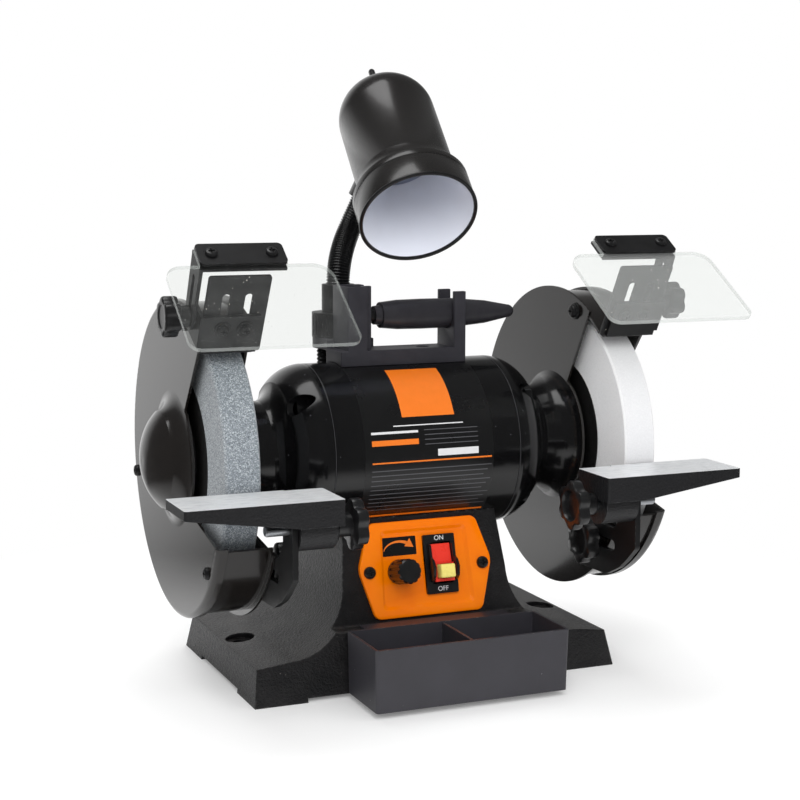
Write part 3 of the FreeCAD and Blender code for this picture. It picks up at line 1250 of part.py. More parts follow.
def shade_place(shape):
    turn = Rotation(X_AXIS, Vector(*SHADE_AXIS))
    moved = shape.copy()
    moved.Placement = FreeCAD.Placement(Vector(*SHADE_RIM_CENTRE), turn)
    return moved


def shade():
    outside = shade_place(turned(shade_half(0, 0)))
    inside = shade_place(turned(shade_half(SHADE_WALL, OVERLAP)))
    axis = Vector(*SHADE_AXIS).normalize()
    boss_end = Vector(*GOOSE_END)
    boss_start = Vector(*SHADE_RIM_CENTRE) + axis * SHADE_BOSS_AT
    boss = rod(SHADE_BOSS_RADIUS, boss_end, boss_start)
    save("lamp_shade", outside.fuse(boss).cut(inside))

    outer, inner = SOCKET_RADII
    low, high = SOCKET_L
    socket = rod_x(outer, (low, high), 0, 0).cut(rod_x(inner, (low, high - SOCKET_FLOOR), 0, 0))
    stem_end = SHADE_LENGTH - SHADE_WALL - SOCKET_STEM_PLAY
    socket = socket.fuse(rod_x(outer * SOCKET_STEM_SHARE, (high, stem_end), 0, 0))
    save("lamp_socket", shade_place(socket))
    knob = rod_x(LAMP_KNOB_RADIUS, LAMP_KNOB_L, 0, 0)
    save("lamp_switch_knob", shade_place(knob))


wheel_stack()
motor()
end_bells()
guards()
spark_arrestors()
shield_knobs()
eye_shields()
tool_rests()
rest_brackets()
base()
control_panel()
tray()
dresser()
lamp()
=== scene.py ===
import json
import math

import bmesh
import bpy
from mathutils import Matrix, Vector
from mathutils.geometry import interpolate_bezier


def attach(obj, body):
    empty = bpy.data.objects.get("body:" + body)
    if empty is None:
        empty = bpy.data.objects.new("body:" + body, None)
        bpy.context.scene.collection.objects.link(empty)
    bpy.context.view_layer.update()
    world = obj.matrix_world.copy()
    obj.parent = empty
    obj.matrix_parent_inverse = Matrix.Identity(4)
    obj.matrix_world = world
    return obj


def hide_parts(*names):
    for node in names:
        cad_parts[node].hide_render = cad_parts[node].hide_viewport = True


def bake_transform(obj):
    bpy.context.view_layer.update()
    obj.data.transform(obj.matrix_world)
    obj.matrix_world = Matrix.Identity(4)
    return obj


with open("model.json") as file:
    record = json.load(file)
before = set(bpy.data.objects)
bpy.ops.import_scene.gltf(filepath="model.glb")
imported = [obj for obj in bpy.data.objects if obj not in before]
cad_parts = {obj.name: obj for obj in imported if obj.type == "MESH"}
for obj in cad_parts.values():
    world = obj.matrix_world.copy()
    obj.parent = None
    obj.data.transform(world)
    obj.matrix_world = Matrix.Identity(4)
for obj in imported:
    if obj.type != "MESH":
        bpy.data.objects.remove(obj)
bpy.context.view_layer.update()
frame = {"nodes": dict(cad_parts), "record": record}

MM = 0.001
TURN = 2 * math.pi
nodes = frame["nodes"]
node_slot = {part["node"]: part["material_slot"] for part in frame["record"]["subparts"]}

# Sizes and directions shared by several pieces and finishes, in millimetres.
SHAFT_Z = 167.0
BARREL_RADIUS = 65.0
REST_TOP = 158.5
SHADE_RIM = (2.7, -35.7, 340.7)
SHADE_AXIS = (0.075, 0.734, 0.675)
SHIELD_LEAN = math.radians(37.46)
SHIELD_NORMAL = (0.0, -math.sin(SHIELD_LEAN), math.cos(SHIELD_LEAN))
SIDES = (("left", -1), ("right", 1))


# Colours and nodes

def linear(colour):
    """sRGB hex to linear RGBA."""
    parts = [int(colour[start:start + 2], 16) / 255 for start in (1, 3, 5)]
    return tuple(c / 12.92 if c <= 0.04045 else ((c + 0.055) / 1.055) ** 2.4 for c in parts) + (1.0,)


def add(tree, kind, inputs=None, **settings):
    """Adds one node; an input takes a value, another node's output, or a node for its first live output."""
    node = tree.nodes.new("ShaderNode" + kind)
    for name, value in settings.items():
        setattr(node, name, value)
    for key, value in (inputs or {}).items():
        if isinstance(value, bpy.types.Node):
            value = next(output for output in value.outputs if output.enabled)
        if isinstance(value, bpy.types.NodeSocket):
            tree.links.new(value, node.inputs[key])
        else:
            node.inputs[key].default_value = value
    return node


def begin(name):
    """A new material with an empty node tree."""
    material = bpy.data.materials.new(name)
    material.use_nodes = True
    material.node_tree.nodes.clear()
    return material, material.node_tree


def done(material, surface):
    """Gives a material its surface."""
    add(material.node_tree, "OutputMaterial", {"Surface": surface})
    return material


# A colour mix's sockets share names with those of its other types, so they go by number.
FACTOR, FIRST, SECOND = 0, 6, 7
# A map range's inputs are, in order: value, from low, from high, to low, to high.
# Most of a noise's values lie in this span.
NOISE_SPAN = {1: 0.3, 2: 0.7}
# Sizes of wear in millimetres: chips along edges, and the core and the rim of a speck of dust.
CHIP = 3.0
SPECK_CORE = 0.3
SPECK_RIM = 0.5
# How many times longer than wide a tool line is.
LINE_STRETCH = 50


def edge_wear(tree, rounded, limit):
    """Where a rounded normal leaves the face's own: along the edges."""
    face = add(tree, "NewGeometry").outputs["Normal"]
    bend = add(tree, "VectorMath", {0: rounded, 1: face}, operation="DOT_PRODUCT")
    return add(tree, "MapRange", {0: bend, 1: 0.97, 2: limit})


def coating(name, dark, light, patch, roughness, grain, relief, rubbed=None, specular=0.5, coat=0.0,
            coat_roughness=0.12, edge=0.5, dust=None, dust_gap=11.0, top_dust_and_light=None):
    """Paint, powder coat or moulded plastic: slow drift of tone, fine grain, edges rubbed paler.

    patch, grain, relief, edge and dust_gap are in millimetres; the tone given for upward faces stands for
    dust and for painted light falling from above."""
    material, tree = begin(name)
    place = add(tree, "TexCoord")
    spot = place.outputs["Object"]
    drift = add(tree, "TexNoise", {
        "Vector": spot, "Scale": 1 / (patch * MM), "Detail": 4.0, "Roughness": 0.6})
    drift = add(tree, "MapRange", {0: drift, **NOISE_SPAN})
    fine = add(tree, "TexNoise", {
        "Vector": spot, "Scale": 1 / (grain * MM), "Detail": 3.0, "Roughness": 0.65})
    colour = add(tree, "Mix", {FACTOR: drift, FIRST: linear(dark), SECOND: linear(light)}, data_type="RGBA")
    gloss = add(tree, "MapRange", {0: fine, **NOISE_SPAN, 3: roughness[0], 4: roughness[1]})
    rounded = add(tree, "Bevel", {"Radius": edge * MM}, samples=6)
    # Upward faces take a paler tone in patches: dust, and painted light falling on the top.
    if top_dust_and_light:
        upward = add(tree, "SeparateXYZ", {"Vector": place.outputs["Normal"]}).outputs["Z"]
        upward = add(tree, "MapRange", {0: upward, 1: 0.15, 2: 0.95})
        cover = add(tree, "MapRange", {0: fine, 1: 0.4, 2: 0.6, 3: 0.2, 4: 1.0})
        wiped = add(tree, "MapRange", {0: drift, 1: 0.1, 2: 0.8, 3: 0.25, 4: 1.0})
        cover = add(tree, "Math", {0: cover, 1: wiped}, operation="MULTIPLY")
        cover = add(tree, "Math", {0: upward, 1: cover}, operation="MULTIPLY")
        colour = add(tree, "Mix", {FACTOR: cover, FIRST: colour, SECOND: linear(top_dust_and_light)}, data_type="RGBA")
    if rubbed:
        at_edge = edge_wear(tree, rounded, 0.8)
        chips = add(tree, "TexNoise", {
            "Vector": spot, "Scale": 1 / (CHIP * MM), "Detail": 6.0, "Roughness": 0.7})
        chips = add(tree, "MapRange", {0: chips, 1: 0.52, 2: 0.66})
        worn = add(tree, "Math", {0: at_edge, 1: chips}, operation="MULTIPLY")
        colour = add(tree, "Mix", {FACTOR: worn, FIRST: colour, SECOND: linear(rubbed)}, data_type="RGBA")
    if dust:
        specks = add(tree, "TexVoronoi", {"Vector": spot, "Scale": 1 / (dust_gap * MM), "Randomness": 1.0})
        speck = add(tree, "MapRange", {0: specks, 1: SPECK_RIM / dust_gap, 2: SPECK_CORE / dust_gap})
        colour = add(tree, "Mix", {FACTOR: speck, FIRST: colour, SECOND: linear(dust)}, data_type="RGBA")
    bump = add(tree, "Bump", {"Strength": 1.0, "Distance": relief * MM, "Height": fine, "Normal": rounded})
    shader = add(tree, "BsdfPrincipled", {
        "Base Color": colour, "Roughness": gloss, "Specular IOR Level": specular, "Coat Weight": coat,
        "Coat Roughness": coat_roughness, "Normal": bump})
    return done(material, shader)


def bare_metal(name, dark, light, roughness, line, relief, along="X"):
    """Machined metal: fine tool lines along one axis, line millimetres apart."""
    material, tree = begin(name)
    spot = add(tree, "TexCoord").outputs["Object"]
    across = 1 / (line * MM)
    stretch = tuple(across / LINE_STRETCH if axis == along else across for axis in "XYZ")
    lines = add(tree, "Mapping", {"Vector": spot, "Scale": stretch})
    lines = add(tree, "TexNoise", {"Vector": lines, "Scale": 1.0, "Detail": 3.0})
    tone = add(tree, "MapRange", {0: lines, **NOISE_SPAN})
    colour = add(tree, "Mix", {FACTOR: tone, FIRST: linear(dark), SECOND: linear(light)}, data_type="RGBA")
    gloss = add(tree, "MapRange", {0: lines, **NOISE_SPAN, 3: roughness[0], 4: roughness[1]})
    rounded = add(tree, "Bevel", {"Radius": 0.4 * MM}, samples=6)
    bump = add(tree, "Bump", {"Strength": 1.0, "Distance": relief * MM, "Height": lines, "Normal": rounded})
    shader = add(tree, "BsdfPrincipled", {
        "Base Color": colour, "Metallic": 1.0, "Roughness": gloss, "Normal": bump})
    return done(material, shader)


def bonded_grit(name, face, rim, glint, pore_shade, grit, contrast):
    """Vitrified abrasive: packed grains with open pores, the rim darker than the sides; the brightest grains
    are painted glints and the pores painted shade.
    """
    material, tree = begin(name)
    place = add(tree, "TexCoord")
    spot = place.outputs["Object"]
    grains = add(tree, "TexVoronoi", {"Vector": spot, "Scale": 1 / (grit * MM), "Randomness": 1.0})
    clumps = add(tree, "TexNoise", {
        "Vector": spot, "Scale": 1 / (1.6 * grit * MM), "Detail": 4.0, "Roughness": 0.8})
    side = add(tree, "SeparateXYZ", {"Vector": place.outputs["Normal"]}).outputs["X"]
    side = add(tree, "Math", {0: side}, operation="ABSOLUTE")
    side = add(tree, "MapRange", {0: side, 1: 0.5, 2: 0.9})
    colour = add(tree, "Mix", {FACTOR: side, FIRST: linear(rim), SECOND: linear(face)}, data_type="RGBA")
    tone = add(tree, "SeparateColor", {"Color": grains.outputs["Color"]}).outputs["Red"]
    # Painted glints: the brightest grains are lifted towards the glint tone.
    bright = add(tree, "MapRange", {0: tone, 1: 0.55, 2: 1.0, 3: 0.0, 4: contrast})
    colour = add(tree, "Mix", {FACTOR: bright, FIRST: colour, SECOND: linear(glint)}, data_type="RGBA")
    # Painted shade in the pores: the low clumps are darkened towards the pore tone.
    hollow = add(tree, "MapRange", {0: clumps, 1: 0.5, 2: 0.36, 3: 0.0, 4: contrast})
    colour = add(tree, "Mix", {FACTOR: hollow, FIRST: colour, SECOND: linear(pore_shade)}, data_type="RGBA")
    relief = add(tree, "Math", {0: clumps, 1: tone}, operation="ADD")
    bump = add(tree, "Bump", {"Strength": 0.5, "Distance": 0.3 * grit * MM, "Height": relief})
    shader = add(tree, "BsdfPrincipled", {
        "Base Color": colour, "Roughness": 0.92, "Specular IOR Level": 0.25,
        "Normal": bump})
    return done(material, shader)


def clear_sheet(name):
    """Polycarbonate sheet: clear, dust specks, pale sawn edges; the right one carries a stronger pale veil.
    """
    material, tree = begin(name)
    place = add(tree, "TexCoord")
    spot = place.outputs["Object"]
    scuffs = add(tree, "TexNoise", {
        "Vector": spot, "Scale": 1 / (16.0 * MM), "Detail": 6.0, "Roughness": 0.7})
    haze = add(tree, "MapRange", {0: scuffs, 1: 0.35, 2: 0.7, 3: 0.005, 4: 0.02})
    # The sheet right of the middle gets a stronger pale veil.
    right = add(tree, "SeparateXYZ", {"Vector": spot}).outputs["X"]
    right = add(tree, "MapRange", {0: right, 1: -MM, 2: MM, 3: 0.0, 4: 0.11})
    haze = add(tree, "Math", {0: haze, 1: right}, operation="ADD")
    specks = add(tree, "TexVoronoi", {"Vector": spot, "Scale": 1 / (6.0 * MM), "Randomness": 1.0})
    speck = add(tree, "MapRange", {0: specks, 1: 0.06, 2: 0.04, 3: 0.0, 4: 0.3})
    veil = add(tree, "Math", {0: haze, 1: speck}, operation="MAXIMUM")
    glance = add(tree, "LayerWeight", {"Blend": 0.5}).outputs["Facing"]
    mirror = add(tree, "MapRange", {0: glance, 1: 0.2, 2: 0.9, 3: 0.015, 4: 0.12})
    through = add(tree, "BsdfTransparent", {"Color": linear("#fcfdfc")})
    film = add(tree, "BsdfDiffuse", {"Color": linear("#f6f8f7")})
    clear = add(tree, "MixShader", {0: veil, 1: through, 2: film})
    shine = add(tree, "BsdfGlossy", {"Color": linear("#ffffff"), "Roughness": 0.03})
    sheet = add(tree, "MixShader", {0: mirror, 1: clear, 2: shine})
    across = add(tree, "VectorMath", {
        0: place.outputs["Normal"], 1: SHIELD_NORMAL}, operation="DOT_PRODUCT")
    across = add(tree, "Math", {0: across}, operation="ABSOLUTE")
    sawn = add(tree, "MapRange", {0: across, 1: 0.6, 2: 0.3, 3: 0.0, 4: 0.28})
    frosted = add(tree, "BsdfPrincipled", {"Base Color": linear("#ccd1ce"), "Roughness": 0.35, "IOR": 1.58})
    pane = add(tree, "MixShader", {0: sawn, 1: sheet, 2: frosted})
    return done(material, pane)


def plain(name, colour, roughness, patch=6.0, drift=0.12, specular=0.5, coat=0.0):
    """Moulded or printed surface: one pigment with a faint drift in tone and gloss."""
    material, tree = begin(name)
    spot = add(tree, "TexCoord").outputs["Object"]
    noise = add(tree, "TexNoise", {"Vector": spot, "Scale": 1 / (patch * MM), "Detail": 4.0})
    base = linear(colour)
    deep = tuple(channel * (1 - drift) for channel in base[:3]) + (1.0,)
    tone = add(tree, "Mix", {FACTOR: noise, FIRST: deep, SECOND: base}, data_type="RGBA")
    gloss = add(tree, "MapRange", {0: noise, **NOISE_SPAN, 3: roughness * 0.85, 4: roughness * 1.15})
    rounded = add(tree, "Bevel", {"Radius": 0.4 * MM}, samples=6)
    shader = add(tree, "BsdfPrincipled", {
        "Base Color": tone, "Roughness": gloss, "Specular IOR Level": specular, "Coat Weight": coat,
        "Coat Roughness": 0.1, "Normal": rounded})
    return done(material, shader)


def milled_rest(name):
    """Cast iron rest: black paint on its sides, the top milled bare and scuffed by work, its near-white tone
    partly a painted reflection of the bright room.
    """
    material, tree = begin(name)
    place = add(tree, "TexCoord")
    spot = place.outputs["Object"]
    height = add(tree, "SeparateXYZ", {"Vector": spot}).outputs["Z"]
    high = add(tree, "MapRange", {0: height, 1: (REST_TOP - 0.8) * MM, 2: (REST_TOP - 0.3) * MM})
    upward = add(tree, "SeparateXYZ", {"Vector": place.outputs["Normal"]}).outputs["Z"]
    upward = add(tree, "MapRange", {0: upward, 1: 0.7, 2: 0.9})
    milled = add(tree, "Math", {0: high, 1: upward}, operation="MULTIPLY")
    stretch = (1 / (12.0 * MM), 1 / (0.7 * MM), 1 / (0.7 * MM))
    lines = add(tree, "Mapping", {"Vector": spot, "Scale": stretch})
    lines = add(tree, "TexNoise", {"Vector": lines, "Scale": 1.0, "Detail": 3.0})
    drawn_out = add(tree, "Mapping", {"Vector": spot, "Scale": (0.3, 1.0, 1.0)})
    stains = add(tree, "TexNoise", {
        "Vector": drawn_out, "Scale": 1 / (3.0 * MM), "Detail": 6.0, "Roughness": 0.75})
    # The milled top: bare metal whose near-white tone is partly a painted reflection of the bright room.
    shine = add(tree, "Mix", {
        FACTOR: lines, FIRST: linear("#dfe3e7"), SECOND: linear("#ffffff")}, data_type="RGBA")
    stained = add(tree, "MapRange", {0: stains, 1: 0.45, 2: 0.7, 3: 0.0, 4: 0.3})
    shine = add(tree, "Mix", {FACTOR: stained, FIRST: shine, SECOND: linear("#868b90")}, data_type="RGBA")
    grain = add(tree, "TexNoise", {"Vector": spot, "Scale": 1 / (1.6 * MM), "Detail": 3.0})
    paint = add(tree, "Mix", {
        FACTOR: grain, FIRST: linear("#141416"), SECOND: linear("#242426")}, data_type="RGBA")
    rounded = add(tree, "Bevel", {"Radius": 0.7 * MM}, samples=6)
    at_edge = edge_wear(tree, rounded, 0.82)
    chips = add(tree, "MapRange", {0: stains, 1: 0.5, 2: 0.62, 3: 0.0, 4: 0.8})
    chips = add(tree, "Math", {0: at_edge, 1: chips}, operation="MULTIPLY")
    paint = add(tree, "Mix", {FACTOR: chips, FIRST: paint, SECOND: linear("#8b8d90")}, data_type="RGBA")
    rough = add(tree, "Bump", {"Strength": 1.0, "Distance": 0.6 * MM, "Height": grain, "Normal": rounded})
    drawn = add(tree, "Bump", {"Strength": 0.6, "Distance": 0.03 * MM, "Height": lines, "Normal": rounded})
    iron = add(tree, "BsdfPrincipled", {"Base Color": paint, "Roughness": 0.45, "Normal": rough})
    bright = add(tree, "BsdfPrincipled", {
        "Base Color": shine, "Metallic": 0.3, "Roughness": 0.4, "Normal": drawn})
    both = add(tree, "MixShader", {0: milled, 1: iron, 2: bright})
    return done(material, both)


def lined_shade(name):
    """Spun shade: black enamel outside and on the lip, cool white enamel inside, painted darker deeper in as
    shade.
    """
    material, tree = begin(name)
    place = add(tree, "TexCoord")
    spot = place.outputs["Object"]
    centre = tuple(value * MM for value in SHADE_RIM)
    reach = add(tree, "VectorMath", {0: spot, 1: centre}, operation="SUBTRACT")
    along = add(tree, "VectorMath", {0: reach, 1: SHADE_AXIS}, operation="DOT_PRODUCT")
    onto = add(tree, "VectorMath", {0: SHADE_AXIS, "Scale": along}, operation="SCALE")
    outward = add(tree, "VectorMath", {0: reach, 1: onto}, operation="SUBTRACT")
    outward = add(tree, "VectorMath", {0: outward}, operation="NORMALIZE")
    turned = add(tree, "VectorMath", {0: outward, 1: place.outputs["Normal"]}, operation="DOT_PRODUCT")
    inside = add(tree, "MapRange", {0: turned, 1: -0.3, 2: -0.4})
    grain = add(tree, "TexNoise", {"Vector": spot, "Scale": 1 / (0.8 * MM), "Detail": 2.0})
    black = add(tree, "Mix", {
        FACTOR: grain, FIRST: linear("#151413"), SECOND: linear("#1d1b1a")}, data_type="RGBA")
    # Painted shade: the white enamel darkens towards the crown, deeper inside the shade.
    deep = add(tree, "MapRange", {0: along, 1: 10 * MM, 2: 95 * MM})
    white = add(tree, "Mix", {
        FACTOR: deep, FIRST: linear("#dde2ef"), SECOND: linear("#b8bfd4")}, data_type="RGBA")
    colour = add(tree, "Mix", {FACTOR: inside, FIRST: black, SECOND: white}, data_type="RGBA")
    gloss = add(tree, "MapRange", {0: grain, **NOISE_SPAN, 3: 0.2, 4: 0.27})
    rounded = add(tree, "Bevel", {"Radius": 0.5 * MM}, samples=6)
    bump = add(tree, "Bump", {"Strength": 1.0, "Distance": 0.012 * MM, "Height": grain, "Normal": rounded})
    shader = add(tree, "BsdfPrincipled", {
        "Base Color": colour, "Roughness": gloss, "Coat Weight": 0.25, "Coat Roughness": 0.12,
        "Normal": bump})
    return done(material, shader)


finish = {
    # Sand-cast iron under black paint: pitted, chipped to grey iron on its edges; its top is dusty and
    # painted lighter as light falls from above.
    "cast_black": coating("sand_cast_black", "#0f0f11", "#1a191b", 25, (0.28, 0.46), 2.0, 1.1, "#6b6968",
                          edge=2.2, dust="#6a6866", top_dust_and_light="#464442"),
    # Gloss enamel on the motor: nearly black, a clear highlight with a slight orange peel.
    "motor_black": coating("gloss_black_enamel", "#0a0a0b", "#0f0f10", 30, (0.14, 0.2), 2.2, 0.015,
                           specular=0.45, coat=0.2, dust="#55555a"),
    # Powder coat on pressed sheet: smooth, a broad highlight over brownish black.
    "guard_black": coating("satin_powder_coat", "#161312", "#1d1a18", 40, (0.15, 0.2), 0.7, 0.008, "#7b7977",
                           coat=0.3, coat_roughness=0.1),
    # Blacked steel plate and fasteners: a thin oily sheen, corners rubbed to bare steel.
    "black_steel": coating("black_oxide_steel", "#121213", "#1b1b1c", 12, (0.34, 0.48), 0.6, 0.03, "#77767a",
                           specular=0.35),
    # Turned steel: bright, with fine tool lines.
    "bright_steel": bare_metal("turned_steel", "#8d9095", "#c4c7cb", (0.25, 0.4), 0.5, 0.02),
    # Grey aluminium oxide in a glassy bond; the grit is drawn near one pixel, coarser than it is, to show.
    "grey_abrasive": bonded_grit("grey_bonded_grit", "#989c9f", "#868d93", "#d6dce1", "#363d46", 0.6, 0.8),
    # White aluminium oxide: the same structure, almost without contrast.
    "white_abrasive": bonded_grit("white_bonded_grit", "#fcfcfd", "#e8e8ea", "#f8f8f9", "#d8d8da", 0.8, 0.25),
    # Blotter card pressed between wheel and flange: dull black.
    "label_paper": plain("printed_card", "#151414", 0.7, drift=0.25),
    # Extruded sheet: seen through, with a faint mirror at a glance.
    "clear_shield": clear_sheet("clear_polycarbonate"),
    # Compression-moulded phenolic: deep black, soft gloss, lobes polished by hands.
    "knob_black": coating("moulded_black_phenolic", "#121213", "#1b1b1c", 10, (0.26, 0.38), 0.5, 0.02,
                          "#4c4b4d", coat=0.2),
    # Glossy moulded panel, the pigment through and through.
    "orange_panel": coating("orange_moulded_panel", "#fb7600", "#ff8300", 30, (0.16, 0.22), 1.1, 0.004,
                            "#ffae58", specular=0.35),
    # Injection-moulded switch parts: a strong even colour and a small highlight.
    "red_plastic": plain("red_moulded_plastic", "#f53826", 0.28),
    "yellow_plastic": plain("yellow_moulded_plastic", "#ffee82", 0.3),
    # Moulded tray: satin, warmer rubbed rims, a few specks of swarf.
    "tray_black": coating("satin_moulded_tray", "#343338", "#3a393f", 35, (0.42, 0.52), 0.7, 0.02, "#9a9692",
                          dust="#8a888c"),
    # Moulded nylon: dark grey, with a wide dull highlight.
    "holder_grey": coating("matt_moulded_nylon", "#2b2a30", "#343339", 15, (0.45, 0.55), 0.6, 0.03,
                           "#5c5a60"),
    # Vinyl dipped over the handle: smooth and dark, with a soft sheen.
    "grip_black": coating("dipped_grip", "#26252a", "#302f33", 14, (0.32, 0.42), 0.7, 0.04),
    # Varnished winding: brown to copper, wire by wire.
    "copper_winding": bare_metal("enamelled_copper_wire", "#6d3312", "#b86a31", (0.3, 0.45), 1.0, 0.2),
    # Punched sheets: grey, with their edges as lines.
    "lamination": bare_metal("stacked_laminations", "#4f5054", "#808287", (0.4, 0.55), 0.5, 0.05, "Y"),
    # Green solder mask over a board, mottled by the tracks below.
    "board_green": plain("circuit_board", "#1d6a3b", 0.45, drift=0.3),
    # Stoved enamel on the spun shade: warm black outside, white inside.
    "shade_black": lined_shade("lined_shade_enamel"),
    # Moulded lamp socket: brownish black.
    "socket_dark": plain("phenolic_socket", "#1b1a1a", 0.4),
}
# Cast iron, painted black and milled bare on top, the top partly painted near white as a reflection.
rest_iron = milled_rest("milled_cast_rest")
# Blacked steel flecked by sparks.
sparked_steel = coating("sparked_black_steel", "#121213", "#1b1b1c", 12, (0.34, 0.48), 0.6, 0.03, "#77767a",
                        specular=0.35, dust="#d8d1c9", dust_gap=4.5)
# Oiled steel strip of the hose: black, with a narrow glint on each rib.
hose_steel = coating("oiled_black_hose", "#0c0c0d", "#141415", 12, (0.18, 0.28), 0.6, 0.01, specular=0.7,
                     coat=0.3)
# Film on the motor under a thin clear layer, and the inks on it and on the panel.
film_black = plain("black_label_film", "#121213", 0.3, patch=20.0, drift=0.2, coat=0.2)
ink_orange = plain("orange_ink", "#f57b16", 0.38)
ink_white = plain("white_ink", "#e4e4e6", 0.4)
ink_grey = plain("grey_ink", "#58585c", 0.4)
# A pale line along each joint, painted as the highlight on its edge.
joint_highlight = plain("painted_joint_highlight", "#404043", 0.4)
# Cool white stoved enamel on the reflector.
reflector = plain("white_stoved_enamel", "#f1f4fe", 0.2, patch=30.0, drift=0.05)

# Nodes whose finish differs from the rest of their slot.
own_finish = {
    "left_tool_rest": rest_iron,
    "right_tool_rest": rest_iron,
    "dresser_head": finish["black_steel"],
}

for name, node in nodes.items():
    node.data.materials.clear()
    node.data.materials.append(own_finish.get(name, finish[node_slot[name]]))


# Modelling, in millimetres

RIGHTWARDS = (1, 0, 0)
UPWARDS = (0, 0, 1)


def seat(origin, along, up):
    """Placement with its X along, its Y up and its Z out of the surface."""
    along = Vector(along).normalized()
    up = Vector(up).normalized()
    turn = Matrix((along, up, along.cross(up))).transposed().to_4x4()
    return Matrix.Translation(Vector(origin)) @ turn


def facing(at, sign):
    """Placement that faces along the shaft, to the right for a sign of 1."""
    return seat(at, (0, sign, 0), UPWARDS)


def on_side(at, sign):
    """A place that is given for the right side, on the side of the sign."""
    return Vector((sign * at[0], at[1], at[2]))


def row_of(points):
    """The edges of a ring of points."""
    return list({edge for point in points for edge in point.link_edges})


def points_in(items):
    return [item for item in items if isinstance(item, bmesh.types.BMVert)]


def grow(shape, row, reshape):
    """Extrudes a closed row of edges; reshape gives each new point its place."""
    made = bmesh.ops.extrude_edge_only(shape, edges=row)["geom"]
    points = set(points_in(made))
    for point in points:
        point.co = reshape(point.co)
    return [item for item in made if isinstance(item, bmesh.types.BMEdge) and points.issuperset(item.verts)]


def set_down(shape, before, place):
    """Moves what was added since before to its place."""
    bmesh.ops.transform(shape, matrix=place, verts=shape.verts[:][before:])


def from_node(name):
    """A copy of a node's mesh."""
    shape = bmesh.new()
    shape.from_mesh(nodes[name].data)
    bmesh.ops.scale(shape, vec=(1 / MM, 1 / MM, 1 / MM), verts=shape.verts)
    return shape


def piece(shape, name, body, slot, material=None, stands_for=None):
    """Makes a shape an object of the scene; without a material of its own it takes its slot's."""
    bmesh.ops.scale(shape, vec=(MM, MM, MM), verts=shape.verts)
    bmesh.ops.remove_doubles(shape, verts=shape.verts, dist=0.005 * MM)
    bmesh.ops.recalc_face_normals(shape, faces=shape.faces)
    for face in shape.faces:
        face.smooth = True
    mesh = bpy.data.meshes.new(name)
    shape.to_mesh(mesh)
    shape.free()
    mesh.set_sharp_from_angle(angle=math.radians(35))
    mesh.materials.append(material or finish[slot])
    made = bpy.data.objects.new(name, mesh)
    bpy.context.scene.collection.objects.link(made)
    if body:
        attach(made, body)
    if stands_for:
        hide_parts(stands_for)
    return made


def round_over(shape, items, width, kind, segments):
    """Rounds over edges, or the corners of a sheet; gives the new points."""
    return bmesh.ops.bevel(shape, geom=items, offset=width, offset_type="OFFSET", affect=kind,
                           segments=segments, profile=0.5, material=-1)["verts"]


def outline_row(shape, corners, height, rounding):
    """A closed row of edges through corners that are rounded over."""
    points = [shape.verts.new((x, y, height)) for x, y in corners]
    shape.faces.new(points)
    sheet = round_over(shape, points, rounding, "VERTICES", segments=6)[0].link_faces[0]
    row = list(sheet.edges)
    bmesh.ops.delete(shape, geom=[sheet], context="FACES_ONLY")
    return row


def fill(shape, rows):
    """Fills the sheet between rows of edges; gives its faces."""
    made = bmesh.ops.triangle_fill(shape, use_beauty=True, use_dissolve=False, edges=rows, normal=UPWARDS)
    return [item for item in made["geom"] if isinstance(item, bmesh.types.BMFace)]


def thicken(shape, faces, depth):
    """Extrudes a sheet into a plate."""
    made = bmesh.ops.extrude_face_region(shape, geom=faces)["geom"]
    bmesh.ops.translate(shape, vec=depth, verts=points_in(made))


def lathe(shape, outline, place, steps):
    """Spins an outline of radius and height about the place's Z."""
    before = len(shape.verts)
    points = [shape.verts.new((radius, 0, height)) for radius, height in outline]
    edges = [shape.edges.new(pair) for pair in zip(points, points[1:])]
    bmesh.ops.spin(shape, geom=points + edges, cent=(0, 0, 0), axis=UPWARDS, dvec=(0, 0, 0), angle=TURN,
                   steps=steps, use_merge=True)
    set_down(shape, before, place)


HEAD_SEGMENTS = 24
CROSS_ARM = 0.52
# With 24 points round, an arm this wide puts a point on every corner of the cross.
CROSS_HALF_WIDTH = CROSS_ARM * math.tan(TURN / HEAD_SEGMENTS)


def on_ring(point, radius, height):
    """The place on a ring in the direction of a point."""
    return Vector((point.x, point.y, 0)).normalized() * radius + Vector((0, 0, height))


def pan_head(shape, place, radius, height):
    """Pan head screw with a cross recess."""
    before = len(shape.verts)
    row = row_of(bmesh.ops.create_circle(shape, segments=HEAD_SEGMENTS, radius=radius)["verts"])

    def cross(point, share, rise):
        flat = Vector((point.x, point.y, 0)).normalized()
        wide = max(abs(flat.x), abs(flat.y))
        narrow = max(min(abs(flat.x), abs(flat.y)), 0.001)
        reach = share * min(CROSS_ARM / wide, CROSS_HALF_WIDTH / narrow)
        return on_ring(point, radius * reach, height * rise)

    for share, rise in ((1.0, 0.35), (0.95, 0.66), (0.82, 0.88), (0.62, 1.0)):
        row = grow(shape, row, lambda point: on_ring(point, radius * share, height * rise))
    row = grow(shape, row, lambda point: cross(point, 1.0, 1.0))
    row = grow(shape, row, lambda point: cross(point, 0.8, 0.35))
    bmesh.ops.edgeloop_fill(shape, edges=row)
    set_down(shape, before, place)


def washer(shape, place, radius, thickness):
    before = len(shape.verts)
    row = row_of(bmesh.ops.create_circle(shape, segments=32, radius=radius)["verts"])
    for share, rise in ((1.0, 0.7), (0.94, 1.0), (0.3, 1.0)):
        row = grow(shape, row, lambda point: on_ring(point, radius * share, thickness * rise))
    set_down(shape, before, place)


